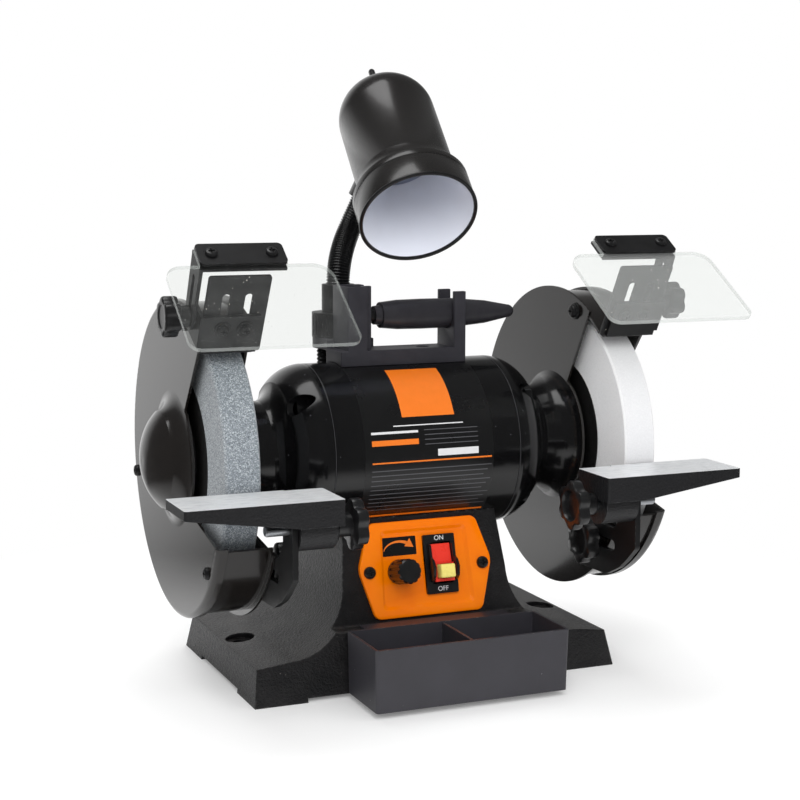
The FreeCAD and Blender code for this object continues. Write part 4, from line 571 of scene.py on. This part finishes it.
# The panel's own frame is across, up and out from the middle of its lower edge.
PANEL = seat((0, -63.69, 48), RIGHTWARDS, (0.0, 0.2368, 0.9716))
PANEL_FRONT = 3.2
PANEL_FLOOR = 1.2
BEZEL_FRONT = 3.75
# Two plates lean over each wheel: the spark arrestor, and the bracket that it is bolted to.
STACK_FOOT = Vector((0, -73, 254))
STACK_UP = Vector((0, -0.494, 0.869))
STACK_OUT = Vector((0, -0.869, -0.494))
# A shield's own frame is across, up the sheet and out of it, from the middle of its strip.
SHIELD_PIVOT = Vector((0, -72, 277))
SHIELD_FOOT = (153.25, -100.8, 311.5)
RIGHT_SHIELD_RAISED = math.radians(-4.5)
STRIP_MIDDLE = 9.5
STRIP_BACK = 1.5
PLATE_THICKNESS = 2.0


def on_panel(across, up, out):
    return PANEL @ Matrix.Translation((across, up, out))


def on_stack(x, up, out):
    at = STACK_FOOT + Vector((x, 0, 0)) + STACK_UP * up + STACK_OUT * out
    return seat(at, RIGHTWARDS, STACK_UP)


def on_shield(side, sign, across, up, out):
    sheet_up = (0, math.cos(SHIELD_LEAN), math.sin(SHIELD_LEAN))
    raised = Matrix.Rotation(RIGHT_SHIELD_RAISED if side == "right" else 0.0, 4, "X")
    about = Matrix.Translation(SHIELD_PIVOT) @ raised @ Matrix.Translation(-SHIELD_PIVOT)
    foot = about @ seat(on_side(SHIELD_FOOT, sign), RIGHTWARDS, sheet_up)
    return foot @ Matrix.Translation((across, up, out))


COVER_SCREW_ANGLES = (-38.5, 70.0, 194.0)
BELL_SCREW_ANGLES = (45.0, 135.0, 225.0, 315.0)
PANEL_SCREW_ACROSS = 45.7
PANEL_SCREW_UP = 35.0
HOLDER_SCREW = (22.0, 0.0, 237.5)
ARRESTOR_BOLT_X = (148.5, 164.5)
ARRESTOR_BOLT_UP = 19.5
ARRESTOR_BOLT_OUT = 5.1
ARRESTOR_WASHER = 0.9
GUARD_BOLT = (133.9, -37.6, 268.0)
GUARD_WASHER = 1.2
STRIP_SCREW_ACROSS = 21.25


def screw_circle(shape, x, circle, angles, radius, height):
    """Screws on a circle round the shaft, on both sides of the machine."""
    for side, sign in SIDES:
        for angle in angles:
            turn = math.radians(angle)
            at = (sign * x, -circle * math.cos(turn), SHAFT_Z + circle * math.sin(turn))
            pan_head(shape, facing(at, sign), radius, height)


def screws():
    """Every screw head that shows."""
    shape = bmesh.new()
    screw_circle(shape, x=176.5, circle=107.5, angles=COVER_SCREW_ANGLES, radius=4.5, height=2.8)
    piece(shape, "cover_screw_heads", "grinder", "black_steel", stands_for="cover_screws")

    shape = bmesh.new()
    screw_circle(shape, x=77.0, circle=56.5, angles=BELL_SCREW_ANGLES, radius=5.0, height=4.0)
    piece(shape, "end_bell_screw_heads", "grinder", "bright_steel", stands_for="end_bell_screws")

    shape = bmesh.new()
    for across in (-PANEL_SCREW_ACROSS, PANEL_SCREW_ACROSS):
        pan_head(shape, on_panel(across, PANEL_SCREW_UP, PANEL_FRONT), radius=4.6, height=2.8)
    pan_head(shape, seat(HOLDER_SCREW, RIGHTWARDS, (0, 1, 0)), radius=4.7, height=3.0)
    piece(shape, "panel_and_holder_screws", "grinder", "black_steel", finish["knob_black"])

    for side, sign in SIDES:
        shape = bmesh.new()
        for x in ARRESTOR_BOLT_X:
            bolt = on_stack(sign * x, ARRESTOR_BOLT_UP, ARRESTOR_BOLT_OUT)
            washer(shape, bolt, radius=6.0, thickness=ARRESTOR_WASHER)
            pan_head(shape, bolt @ Matrix.Translation((0, 0, ARRESTOR_WASHER)), radius=4.2, height=2.6)
        inner = facing(on_side(GUARD_BOLT, sign), -sign)
        washer(shape, inner, radius=6.5, thickness=GUARD_WASHER)
        pan_head(shape, inner @ Matrix.Translation((0, 0, GUARD_WASHER)), radius=5.0, height=3.4)
        piece(shape, side + "_guard_bolts", "grinder", "black_steel")

        shape = bmesh.new()
        for across in (-STRIP_SCREW_ACROSS, STRIP_SCREW_ACROSS):
            place = on_shield(side, sign, across, STRIP_MIDDLE, STRIP_BACK + PLATE_THICKNESS)
            pan_head(shape, place, radius=4.4, height=2.6)
        piece(shape, side + "_strip_screws", side + "_shield", "black_steel", finish["knob_black"])


LOBES = 6
NOTCH = 0.17
REST_KNOB = (89.0, -129.0, 136.5)
BRACKET_KNOB = (125.5, -80.0, 98.5)
SHIELD_KNOB = (192.0, -72.0, 277.0)
STUD_RADIUS = 4.0
REST_STUD_END = 61.0


def lobed_knob(name, body, place, radii, lengths, hollow):
    """Six-lobed clamp knob on its stud, rounded over all its edges.

    The radii are those of stud, hub and head; the lengths run from the head's back to the stud's end, to
    the hub's end and to the head's front; hollow is the depth of the dish in that front."""
    stud, hub, head = radii
    stud_end, hub_end, thick = lengths
    shape = bmesh.new()

    def lobed(point, radius, height):
        notch = (0.5 + 0.5 * math.cos(LOBES * math.atan2(point.y, point.x))) ** 1.6
        return on_ring(point, radius * (1 - NOTCH * notch), height)

    points = bmesh.ops.create_circle(shape, segments=96, radius=stud, cap_ends=True)["verts"]
    bmesh.ops.translate(shape, vec=(0, 0, -stud_end), verts=points)
    row = row_of(points)
    for ring, radius, height in (
            (on_ring, stud, -hub_end), (on_ring, hub - 0.5, -hub_end), (on_ring, hub, 0.5 - hub_end),
            (on_ring, hub, -0.4), (on_ring, hub + 0.8, 0.0), (lobed, head - 1.4, 0.0),
            (lobed, head - 0.5, 0.4), (lobed, head, 1.5), (lobed, head, thick - 1.8),
            (lobed, head - 0.4, thick - 0.7), (lobed, head - 1.6, thick), (on_ring, head * 0.64, thick),
            (on_ring, head * 0.6, thick - hollow * 0.2), (on_ring, head * 0.57, thick - hollow * 0.9),
            (on_ring, hub * 0.5, thick - hollow)):
        row = grow(shape, row, lambda point: ring(point, radius, height))
    bmesh.ops.edgeloop_fill(shape, edges=row)
    set_down(shape, 0, place)
    piece(shape, name + "_lobed", body, "knob_black", stands_for=name)


def clamp_knobs():
    for side, sign in SIDES:
        rest_knob = on_side(REST_KNOB, sign)
        lobed_knob(side + "_rest_knob", side + "_rest_clamp", facing(rest_knob, -sign),
                   radii=(STUD_RADIUS, 8.0, 18.0), lengths=(12.0, 10.7, 8.5), hollow=5.0)
        bracket_knob = on_side(BRACKET_KNOB, sign)
        lobed_knob(side + "_bracket_knob", side + "_bracket_clamp", facing(bracket_knob, -sign),
                   radii=(STUD_RADIUS, 8.0, 18.0), lengths=(15.0, 3.8, 10.0), hollow=5.0)
        lobed_knob(side + "_shield_knob", side + "_shield_clamp", facing(on_side(SHIELD_KNOB, sign), sign),
                   radii=(2.5, 7.75, 14.0), lengths=(17.5, 7.7, 11.0), hollow=0.8)
        shape = bmesh.new()
        stud = ((STUD_RADIUS, 12.0), (STUD_RADIUS, REST_STUD_END - 1.0), (STUD_RADIUS - 0.8, REST_STUD_END),
                (0.0, REST_STUD_END))
        lathe(shape, stud, facing(rest_knob, sign), steps=32)
        piece(shape, side + "_rest_stud", side + "_rest_clamp", "bright_steel")


NECK_RIBS = 27
RINGS_TO_A_RIB = 10
NECK_RADIUS = 8.2
RIB_HEIGHT = 1.0
NECK_STRAIGHT = 18.0
NECK_SWEEP = 0.36


def gooseneck():
    """Ribbed steel hose: straight up out of its sleeve, one bend, straight into the shade's boss."""
    start = Vector((-33, 37, 267))
    low = Vector((-33, 37, 288.4))
    end = Vector((-9.5, 43.8, 352.9))
    last = Vector((0.351, -0.251, 0.902)).normalized()
    high = end - last * NECK_STRAIGHT
    reach = (high - low).length * NECK_SWEEP
    rings = NECK_RIBS * RINGS_TO_A_RIB
    line = interpolate_bezier(low, low + Vector((0, 0, reach)), high - last * reach, high, rings)
    step = (line[1] - line[0]).length
    tail = int((end - high).length / step)
    stops = [start] + line + [high + last * step * (index + 1) for index in range(tail)]

    def at(index):
        ahead = stops[min(index + 1, len(stops) - 1)] - stops[max(index - 1, 0)]
        return Matrix.Translation(stops[index]) @ ahead.to_track_quat("Z", "Y").to_matrix().to_4x4()

    shape = bmesh.new()
    row = row_of(bmesh.ops.create_circle(shape, segments=24, radius=NECK_RADIUS, matrix=at(0))["verts"])
    for index in range(1, len(stops)):
        swell = math.sqrt(0.5 - 0.5 * math.cos(TURN * index / RINGS_TO_A_RIB))
        radius = NECK_RADIUS + RIB_HEIGHT * swell
        back = at(index - 1).inverted()
        here = at(index)
        row = grow(shape, row, lambda point: here @ on_ring(back @ point, radius, 0))
    neck = piece(shape, "lamp_gooseneck", None, "black_steel", hose_steel, "lamp_neck")
    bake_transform(neck)


# Heights over the enamel of the film, of the inks on it and of the pale lines painted as highlights along the
# joints.
FILM_LIFT = 0.05
INK_LIFT = 0.09
SEAM_LIFT = 0.02
LABEL_LEFT = -46.0
LABEL_RIGHT = 50.0
BARREL_JOINT_X = 74.0
JOINT_HALF_WIDTH = 0.2


def films(name, material, lift, patches):
    """Curved patches on the barrel, each between two places along it and two angles from the front up."""
    shape = bmesh.new()
    radius = BARREL_RADIUS + lift
    for x, angles in patches:
        low, high = (math.radians(angle) for angle in angles)
        at = [Vector((end, -radius * math.cos(low), SHAFT_Z + radius * math.sin(low))) for end in x]
        edge = shape.edges.new([shape.verts.new(point) for point in at])
        steps = max(2, int(math.degrees(high - low) / 3))
        bmesh.ops.spin(shape, geom=[edge, *edge.verts], cent=(0, 0, SHAFT_Z), axis=(-1, 0, 0), dvec=(0, 0, 0),
                       angle=high - low, steps=steps)
    piece(shape, name, "grinder", "motor_black", material)


def motor_label():
    """Printed film round the barrel, with plain blocks and rules."""
    full = (LABEL_LEFT, LABEL_RIGHT)
    half = (LABEL_LEFT, -9)
    films("motor_film", film_black, FILM_LIFT, [((-51.5, 51.5), (-47, 74))])
    films("film_orange_blocks", ink_orange, INK_LIFT, [
        ((-20, 22), (27, 68)), (full, (-2.6, -1.6)), (half, (9, 12.5)), (full, (-44, -42.2))])
    films("film_white_rules", ink_white, INK_LIFT, [
        ((-28, 28), (21, 21.7)), (half, (16.5, 18)), ((6, 39), (0.5, 5))])
    short = [((-4, 39), (17.6 - 3.1 * line, 18.1 - 3.1 * line)) for line in range(4)]
    ragged = [((LABEL_LEFT, LABEL_RIGHT - 3 * (line % 3)), (-7.6 - 3.3 * line, -7.0 - 3.3 * line))
              for line in range(10)]
    films("film_grey_rules", ink_grey, INK_LIFT, short + ragged)


def words(shape, text, size, place):
    """Letters as a flat mesh, centred on their place."""
    curve = bpy.data.curves.new(text, "FONT")
    curve.body = text
    curve.size = size
    curve.align_x = "CENTER"
    curve.align_y = "CENTER"
    sign = bpy.data.objects.new(text, curve)
    bpy.context.scene.collection.objects.link(sign)
    flat = bpy.data.meshes.new_from_object(sign.evaluated_get(bpy.context.evaluated_depsgraph_get()))
    before = len(shape.verts)
    shape.from_mesh(flat)
    set_down(shape, before, place)
    bpy.data.objects.remove(sign)
    bpy.data.curves.remove(curve)
    bpy.data.meshes.remove(flat)


DECAL_LIFT = 0.12
ARROW_LIFT = 0.2
WORD_LIFT = 0.06
WORD_SIZE = 5.0
WORD_ACROSS = 11.8
ON_UP = 56.1
OFF_UP = 18.4


def panel_marks():
    """Arrow decal over the speed knob, ON and OFF on the switch's bezel."""
    middle = on_panel(-20, 52.5, PANEL_FLOOR)
    shape = bmesh.new()
    bmesh.ops.create_grid(shape, x_segments=1, y_segments=1, size=1.0)
    bmesh.ops.scale(shape, vec=(13.9, 6.9, 1), verts=shape.verts)
    round_over(shape, shape.verts[:], 0.8, "VERTICES", segments=4)
    set_down(shape, 0, middle @ Matrix.Translation((0, 0, DECAL_LIFT)))
    piece(shape, "arrow_decal", "grinder", "orange_panel", film_black)

    # The arrow's tail is a strip bent along a flattened arc, and widens towards its head.
    shape = bmesh.new()
    bmesh.ops.create_grid(shape, x_segments=18, y_segments=1, size=1.0)
    for point in shape.verts:
        run = (point.co.x + 1) / 2
        turn = math.radians(168 - 112 * run)
        radius = 13.0 + point.co.y * (0.25 + 1.55 * run)
        point.co = Vector((
            radius * math.cos(turn) * 0.95 - 0.2, radius * math.sin(turn) * 0.62 - 4.6, ARROW_LIFT))
    before = len(shape.verts)
    bmesh.ops.create_circle(shape, segments=3, radius=4.3, cap_ends=True)
    head = Matrix.Translation((8.4, 1.2, ARROW_LIFT)) @ Matrix.Rotation(math.radians(-128), 4, "Z")
    set_down(shape, before, head)
    set_down(shape, 0, middle)
    piece(shape, "speed_arrow", "grinder", "orange_panel", ink_orange)

    shape = bmesh.new()
    words(shape, "ON", WORD_SIZE, on_panel(WORD_ACROSS, ON_UP, BEZEL_FRONT + WORD_LIFT))
    words(shape, "OFF", WORD_SIZE, on_panel(WORD_ACROSS, OFF_UP, BEZEL_FRONT + WORD_LIFT))
    piece(shape, "switch_words", "grinder", "knob_black", ink_white)


CHEEK_ACROSS = (2.0, 20.8)
CHEEK_THICKNESS = 2.2


def switch_cheeks():
    """Two ears that shield the key from being knocked."""
    outline = ((52, 3.5), (51, 6.2), (42, 6.8), (39.5, 10.5), (34, 12.6), (27.5, 11), (24.5, 7), (24, 3.5))
    shape = bmesh.new()
    for across in CHEEK_ACROSS:
        before = len(shape.verts)
        ear = shape.faces.new([shape.verts.new((across, up, out)) for up, out in outline])
        thicken(shape, [ear], (CHEEK_THICKNESS, 0, 0))
        fresh = set(shape.verts[:][before:])
        sharp = [edge for edge in shape.edges if fresh.issuperset(edge.verts)]
        round_over(shape, sharp, 0.5, "EDGES", segments=3)
    set_down(shape, 0, PANEL)
    piece(shape, "switch_cheeks", "grinder", "knob_black")


# The shade's own frame has its Z from the middle of the rim towards the crown.
SHADE = Matrix.Translation(SHADE_RIM) @ Vector(SHADE_AXIS).to_track_quat("Z", "Y").to_matrix().to_4x4()
# The crown is flatter than the node's: past its start it is drawn down by this share, with its socket.
CROWN_START = 100.0
CROWN_DRAWN = 0.27
LIP_CENTRE = (43.3, 0.0, 0.9)
LIP_RADIUS = 1.5


def lamp_fittings():
    """Lip, shoulder, crown and white reflector of the shade, and its turn switch."""
    shape = bmesh.new()
    at_rim = Matrix.Translation(LIP_CENTRE) @ Matrix.Rotation(TURN / 4, 4, "X")
    bead = bmesh.ops.create_circle(shape, segments=14, radius=LIP_RADIUS, matrix=at_rim)["verts"]
    bmesh.ops.spin(shape, geom=bead + row_of(bead), cent=(0, 0, 0), axis=UPWARDS, dvec=(0, 0, 0), angle=TURN,
                   steps=96, use_merge=True)
    set_down(shape, 0, SHADE)
    piece(shape, "shade_lip", "lamp_head", "shade_black", finish["knob_black"])

    shape = bmesh.new()
    bowl = interpolate_bezier((42.3, 1.0), (38.0, 14.0), (34.5, 30.0), (33.0, 70.0), 20)
    lathe(shape, [tuple(point[:2]) for point in bowl], SHADE, steps=96)
    piece(shape, "shade_reflector", "lamp_head", "shade_black", reflector)

    for name in ("lamp_shade", "lamp_socket"):
        shape = from_node(name)
        for point in shape.verts:
            past = (point.co - Vector(SHADE_RIM)).dot(Vector(SHADE_AXIS)) - CROWN_START
            if past > 0:
                point.co -= Vector(SHADE_AXIS) * past * CROWN_DRAWN
        piece(shape, name + "_drawn", "lamp_head", node_slot[name], stands_for=name)

    shape = bmesh.new()
    lathe(shape, ((44.3, 22.0), (44.3, 26.8), (43.7, 27.9), (42.6, 28.4), (41.4, 28.6), (40.9, 29.4),
                  (40.3, 31.0), (39.2, 33.5), (38.2, 37.0), (37.55, 41.0)), SHADE, steps=96)
    piece(shape, "shade_shoulder", "lamp_head", "shade_black")

    shape = bmesh.new()
    lathe(shape, ((5.4, 141.0), (5.4, 144.2), (4.8, 145.0), (2.7, 145.3), (2.6, 166.7), (2.0, 168.0),
                  (0.0, 168.2)), SHADE, steps=32)
    piece(shape, "lamp_turn_switch", "lamp_switch", "knob_black", stands_for="lamp_switch_knob")


def sheared_plate(name, body, place, half, middle, rounding, material=None, slots=()):
    """Sheet metal plate with rounded corners and upright slots.

    half is its half width and half height, and middle is how far up its middle is."""
    shape = bmesh.new()
    wide, high = half
    corners = ((-wide, middle - high), (wide, middle - high), (wide, middle + high), (-wide, middle + high))
    rows = outline_row(shape, corners, 0.0, rounding)
    for across, low, top, width in slots:
        ends = bmesh.ops.create_circle(shape, segments=24, radius=width / 2)["verts"]
        for point in ends:
            point.co += Vector((across, top if point.co.y > 0 else low, 0))
        rows += row_of(ends)
    thicken(shape, fill(shape, rows), (0, 0, PLATE_THICKNESS))
    set_down(shape, 0, place)
    piece(shape, name + "_sheared", body, "black_steel", material, name)


ARRESTOR_X = 156.5
ARRESTOR_PLAY = 0.3
ARRESTOR_SLOT_ACROSS = 8.0
ARRESTOR_SLOT_UP = (14.75, 43.25)
ARRESTOR_SLOT_WIDTH = 5.5


def shield_plates():
    for side, sign in SIDES:
        place = on_shield(side, sign, 0, 0, STRIP_BACK)
        sheared_plate(side + "_shield_strip", side + "_shield", place, half=(30.75, 10.5),
                      middle=STRIP_MIDDLE, rounding=3.5)
        slots = [(across, *ARRESTOR_SLOT_UP, ARRESTOR_SLOT_WIDTH)
                 for across in (-ARRESTOR_SLOT_ACROSS, ARRESTOR_SLOT_ACROSS)]
        place = on_stack(sign * ARRESTOR_X, 0, ARRESTOR_PLAY)
        sheared_plate(side + "_spark_arrestor", side + "_arrestor", place, half=(22.0, 30.5), middle=29.5,
                      rounding=2.0, material=sparked_steel, slots=slots)


PANEL_HALF_WIDTH = 48.0
PANEL_HALF_HEIGHT = 35.5
BEZEL_MIDDLE = (11.75, 37.0)


def box(left, low, right, high):
    return ((left, low), (right, low), (right, high), (left, high))


def moulded_panel():
    """Panel with a rolled edge and a shallow recess whose walls slope, and the switch's square bezel."""
    def drawn_in(inset, height):
        narrow = 1 - inset / PANEL_HALF_WIDTH
        short = 1 - inset / PANEL_HALF_HEIGHT
        return lambda point: Vector((
            point.x * narrow, PANEL_HALF_HEIGHT + (point.y - PANEL_HALF_HEIGHT) * short, height))

    shape = bmesh.new()
    outline = ((-43.2, 0), (43.2, 0), (53.9, 37.5), (43.3, 71), (-43.3, 71), (-53.9, 37.5))
    edge = outline_row(shape, outline, 0.0, 4.5)
    for inset, height in ((0.0, 2.0), (0.3, 2.75), (0.6, 3.05), (0.45, PANEL_FRONT)):
        edge = grow(shape, edge, drawn_in(inset, height))
    recess = outline_row(shape, ((-37.5, 6), (37.5, 6), (35, 65), (-35, 65)), PANEL_FRONT, 4.0)
    fill(shape, edge + recess)
    for inset, height in ((0.5, 3.0), (2.6, 1.4), (0.6, PANEL_FLOOR)):
        recess = grow(shape, recess, drawn_in(inset, height))
    opening = outline_row(shape, box(1.5, 18, 22, 56), PANEL_FLOOR, 0.5)
    fill(shape, recess + opening)
    set_down(shape, 0, PANEL)
    piece(shape, "moulded_panel", "grinder", "orange_panel", stands_for="control_panel")

    shape = bmesh.new()
    across, up = BEZEL_MIDDLE
    edge = outline_row(shape, box(-1, 15, 24.5, 59), PANEL_FLOOR, 1.0)
    edge = grow(shape, edge, lambda point: Vector((point.x, point.y, BEZEL_FRONT - 0.3)))
    edge = grow(shape, edge, lambda point: Vector((
        across + (point.x - across) * 0.98, up + (point.y - up) * 0.986, BEZEL_FRONT)))
    window = outline_row(shape, box(4.3, 22.3, 20.7, 53.3), BEZEL_FRONT, 0.5)
    fill(shape, edge + window)
    grow(shape, window, lambda point: Vector((point.x, point.y, -1.0)))
    set_down(shape, 0, PANEL)
    piece(shape, "switch_bezel", "grinder", "knob_black")


def softened(name, body, width):
    """A node's own shape with its sharp edges rounded over."""
    shape = from_node(name)
    bmesh.ops.remove_doubles(shape, verts=shape.verts, dist=0.002)
    bmesh.ops.dissolve_limit(shape, angle_limit=math.radians(1), verts=shape.verts, edges=shape.edges)
    sharp = [edge for edge in shape.edges if edge.is_manifold and edge.calc_face_angle() > math.radians(40)]
    round_over(shape, sharp, width, "EDGES", segments=3)
    piece(shape, name + "_softened", body, node_slot[name], nodes[name].data.materials[0], name)


def motor_joints():
    """Pale lines painted as highlights where the end bells meet the barrel, and the bells' flared ends at the
    guards.
    """
    shape = bmesh.new()
    flare = interpolate_bezier((38.55, 104.0), (38.6, 120.0), (41.0, 129.0), (50.6, 133.8), 16)
    for side, sign in SIDES:
        lathe(shape, [tuple(point[:2]) for point in flare], facing((0, 0, SHAFT_Z), sign), steps=96)
    piece(shape, "bell_flares", "grinder", "motor_black")

    films("motor_joint_highlights", joint_highlight, SEAM_LIFT, [
        ((x - JOINT_HALF_WIDTH, x + JOINT_HALF_WIDTH), (-60, 240))
        for x in (-BARREL_JOINT_X, BARREL_JOINT_X)])


screws()
clamp_knobs()
lamp_fittings()
shield_plates()
moulded_panel()
softened("switch_key", "key", width=1.2)
softened("dresser_holder", "grinder", width=0.6)
motor_joints()
gooseneck()
motor_label()
panel_marks()
switch_cheeks()


# Floor, light and camera, in metres

WHITE = (1.0, 1.0, 1.0, 1.0)
PAPER = (0.86, 0.86, 0.86, 1.0)
# The paper runs out to plain white between these distances from the middle.
PAPER_END = {1: 0.28, 2: 0.5}
# The room in front of the object is darker than the sweep behind it, as glossy faces show.
ROOM = {1: 0.74, 2: 1.0, 3: 0.12, 4: 1.0}
# Each soft box has a place, a size, a power, and whether it shines only in gloss.
SOFT_BOXES = {
    "key_box": ((-0.5, -1.7, 1.4), 1.4, 22.0, False),
    "top_box": ((0.0, 0.8, 1.7), 1.6, 16.0, False),
    "glint_box": ((-0.4, 0.0, 1.7), 1.0, 9.0, True),
}
BOX_TARGET = Vector((0, 0, 0.18))


def flat_floor():
    """White paper: it takes the object's soft shadow, and runs out to plain white."""
    mesh = bpy.data.meshes.new("floor")
    shape = bmesh.new()
    bmesh.ops.create_grid(shape, x_segments=1, y_segments=1, size=8.0)
    shape.to_mesh(mesh)
    shape.free()
    floor = bpy.data.objects.new("floor", mesh)
    bpy.context.scene.collection.objects.link(floor)
    material, tree = begin("white_sweep")
    path = add(tree, "LightPath")
    paper = add(tree, "BsdfDiffuse", {"Color": PAPER})
    lift = add(tree, "Emission", {"Color": WHITE, "Strength": 0.17})
    lifted = add(tree, "AddShader", {0: paper, 1: lift})
    spot = add(tree, "TexCoord").outputs["Object"]
    far = add(tree, "VectorMath", {0: spot}, operation="LENGTH")
    away = add(tree, "MapRange", {0: far, **PAPER_END})
    white = add(tree, "Emission", {"Color": WHITE, "Strength": 1.0})
    seen = add(tree, "MixShader", {0: away, 1: lifted, 2: white})
    depth = add(tree, "SeparateXYZ", {"Vector": spot}).outputs["Y"]
    behind = add(tree, "Math", {0: depth, 1: far}, operation="DIVIDE")
    room = add(tree, "MapRange", {0: behind, **ROOM})
    beyond = add(tree, "Emission", {"Color": WHITE, "Strength": room})
    mirrored = add(tree, "Math", {0: path.outputs["Is Glossy Ray"], 1: away}, operation="MULTIPLY")
    unseen = add(tree, "MixShader", {0: mirrored, 1: paper, 2: beyond})
    sweep = add(tree, "MixShader", {0: path.outputs["Is Camera Ray"], 1: unseen, 2: seen})
    mesh.materials.append(done(material, sweep))


def studio():
    """White sweep behind and beside the object, a darker room in front of it, and the soft boxes."""
    world = bpy.data.worlds.new("studio")
    bpy.context.scene.world = world
    world.use_nodes = True
    tree = world.node_tree
    tree.nodes.clear()
    direction = add(tree, "TexCoord").outputs["Generated"]
    depth = add(tree, "SeparateXYZ", {"Vector": direction}).outputs["Y"]
    room = add(tree, "MapRange", {0: depth, **ROOM})
    path = add(tree, "LightPath")
    mirrored = add(tree, "Math", {
        0: path.outputs["Is Glossy Ray"], 1: path.outputs["Is Transmission Ray"]}, operation="MAXIMUM")
    level = add(tree, "Mix", {0: mirrored, 2: 0.75, 3: room}, data_type="FLOAT")
    level = add(tree, "Mix", {0: path.outputs["Is Camera Ray"], 2: level, 3: 1.0}, data_type="FLOAT")
    sky = add(tree, "Background", {"Color": WHITE, "Strength": level})
    add(tree, "OutputWorld", {"Surface": sky})
    for name, (at, size, power, in_gloss) in SOFT_BOXES.items():
        lamp = bpy.data.lights.new(name, "AREA")
        lamp.size = size
        lamp.energy = power
        holder = bpy.data.objects.new(name, lamp)
        holder.location = at
        holder.rotation_euler = (BOX_TARGET - Vector(at)).to_track_quat("-Z", "Y").to_euler()
        holder.visible_glossy = in_gloss
        holder.visible_diffuse = not in_gloss
        bpy.context.scene.collection.objects.link(holder)


def photo_camera():
    """Camera fitted to the photograph's viewing angle."""
    lens = bpy.data.cameras.new("photo_camera")
    lens.sensor_width = 36.0
    lens.lens = 74.88
    lens.shift_x = 0.0372
    lens.shift_y = -0.0066
    camera = bpy.data.objects.new("photo_camera", lens)
    camera.location = (-0.49544, -1.16156, 0.37301)
    camera.rotation_euler = Vector((0.37462, 0.91775, -0.13188)).to_track_quat("-Z", "Y").to_euler()
    bpy.context.scene.collection.objects.link(camera)
    bpy.context.scene.camera = camera


flat_floor()
studio()
photo_camera()
bpy.context.scene.view_settings.view_transform = "Standard"
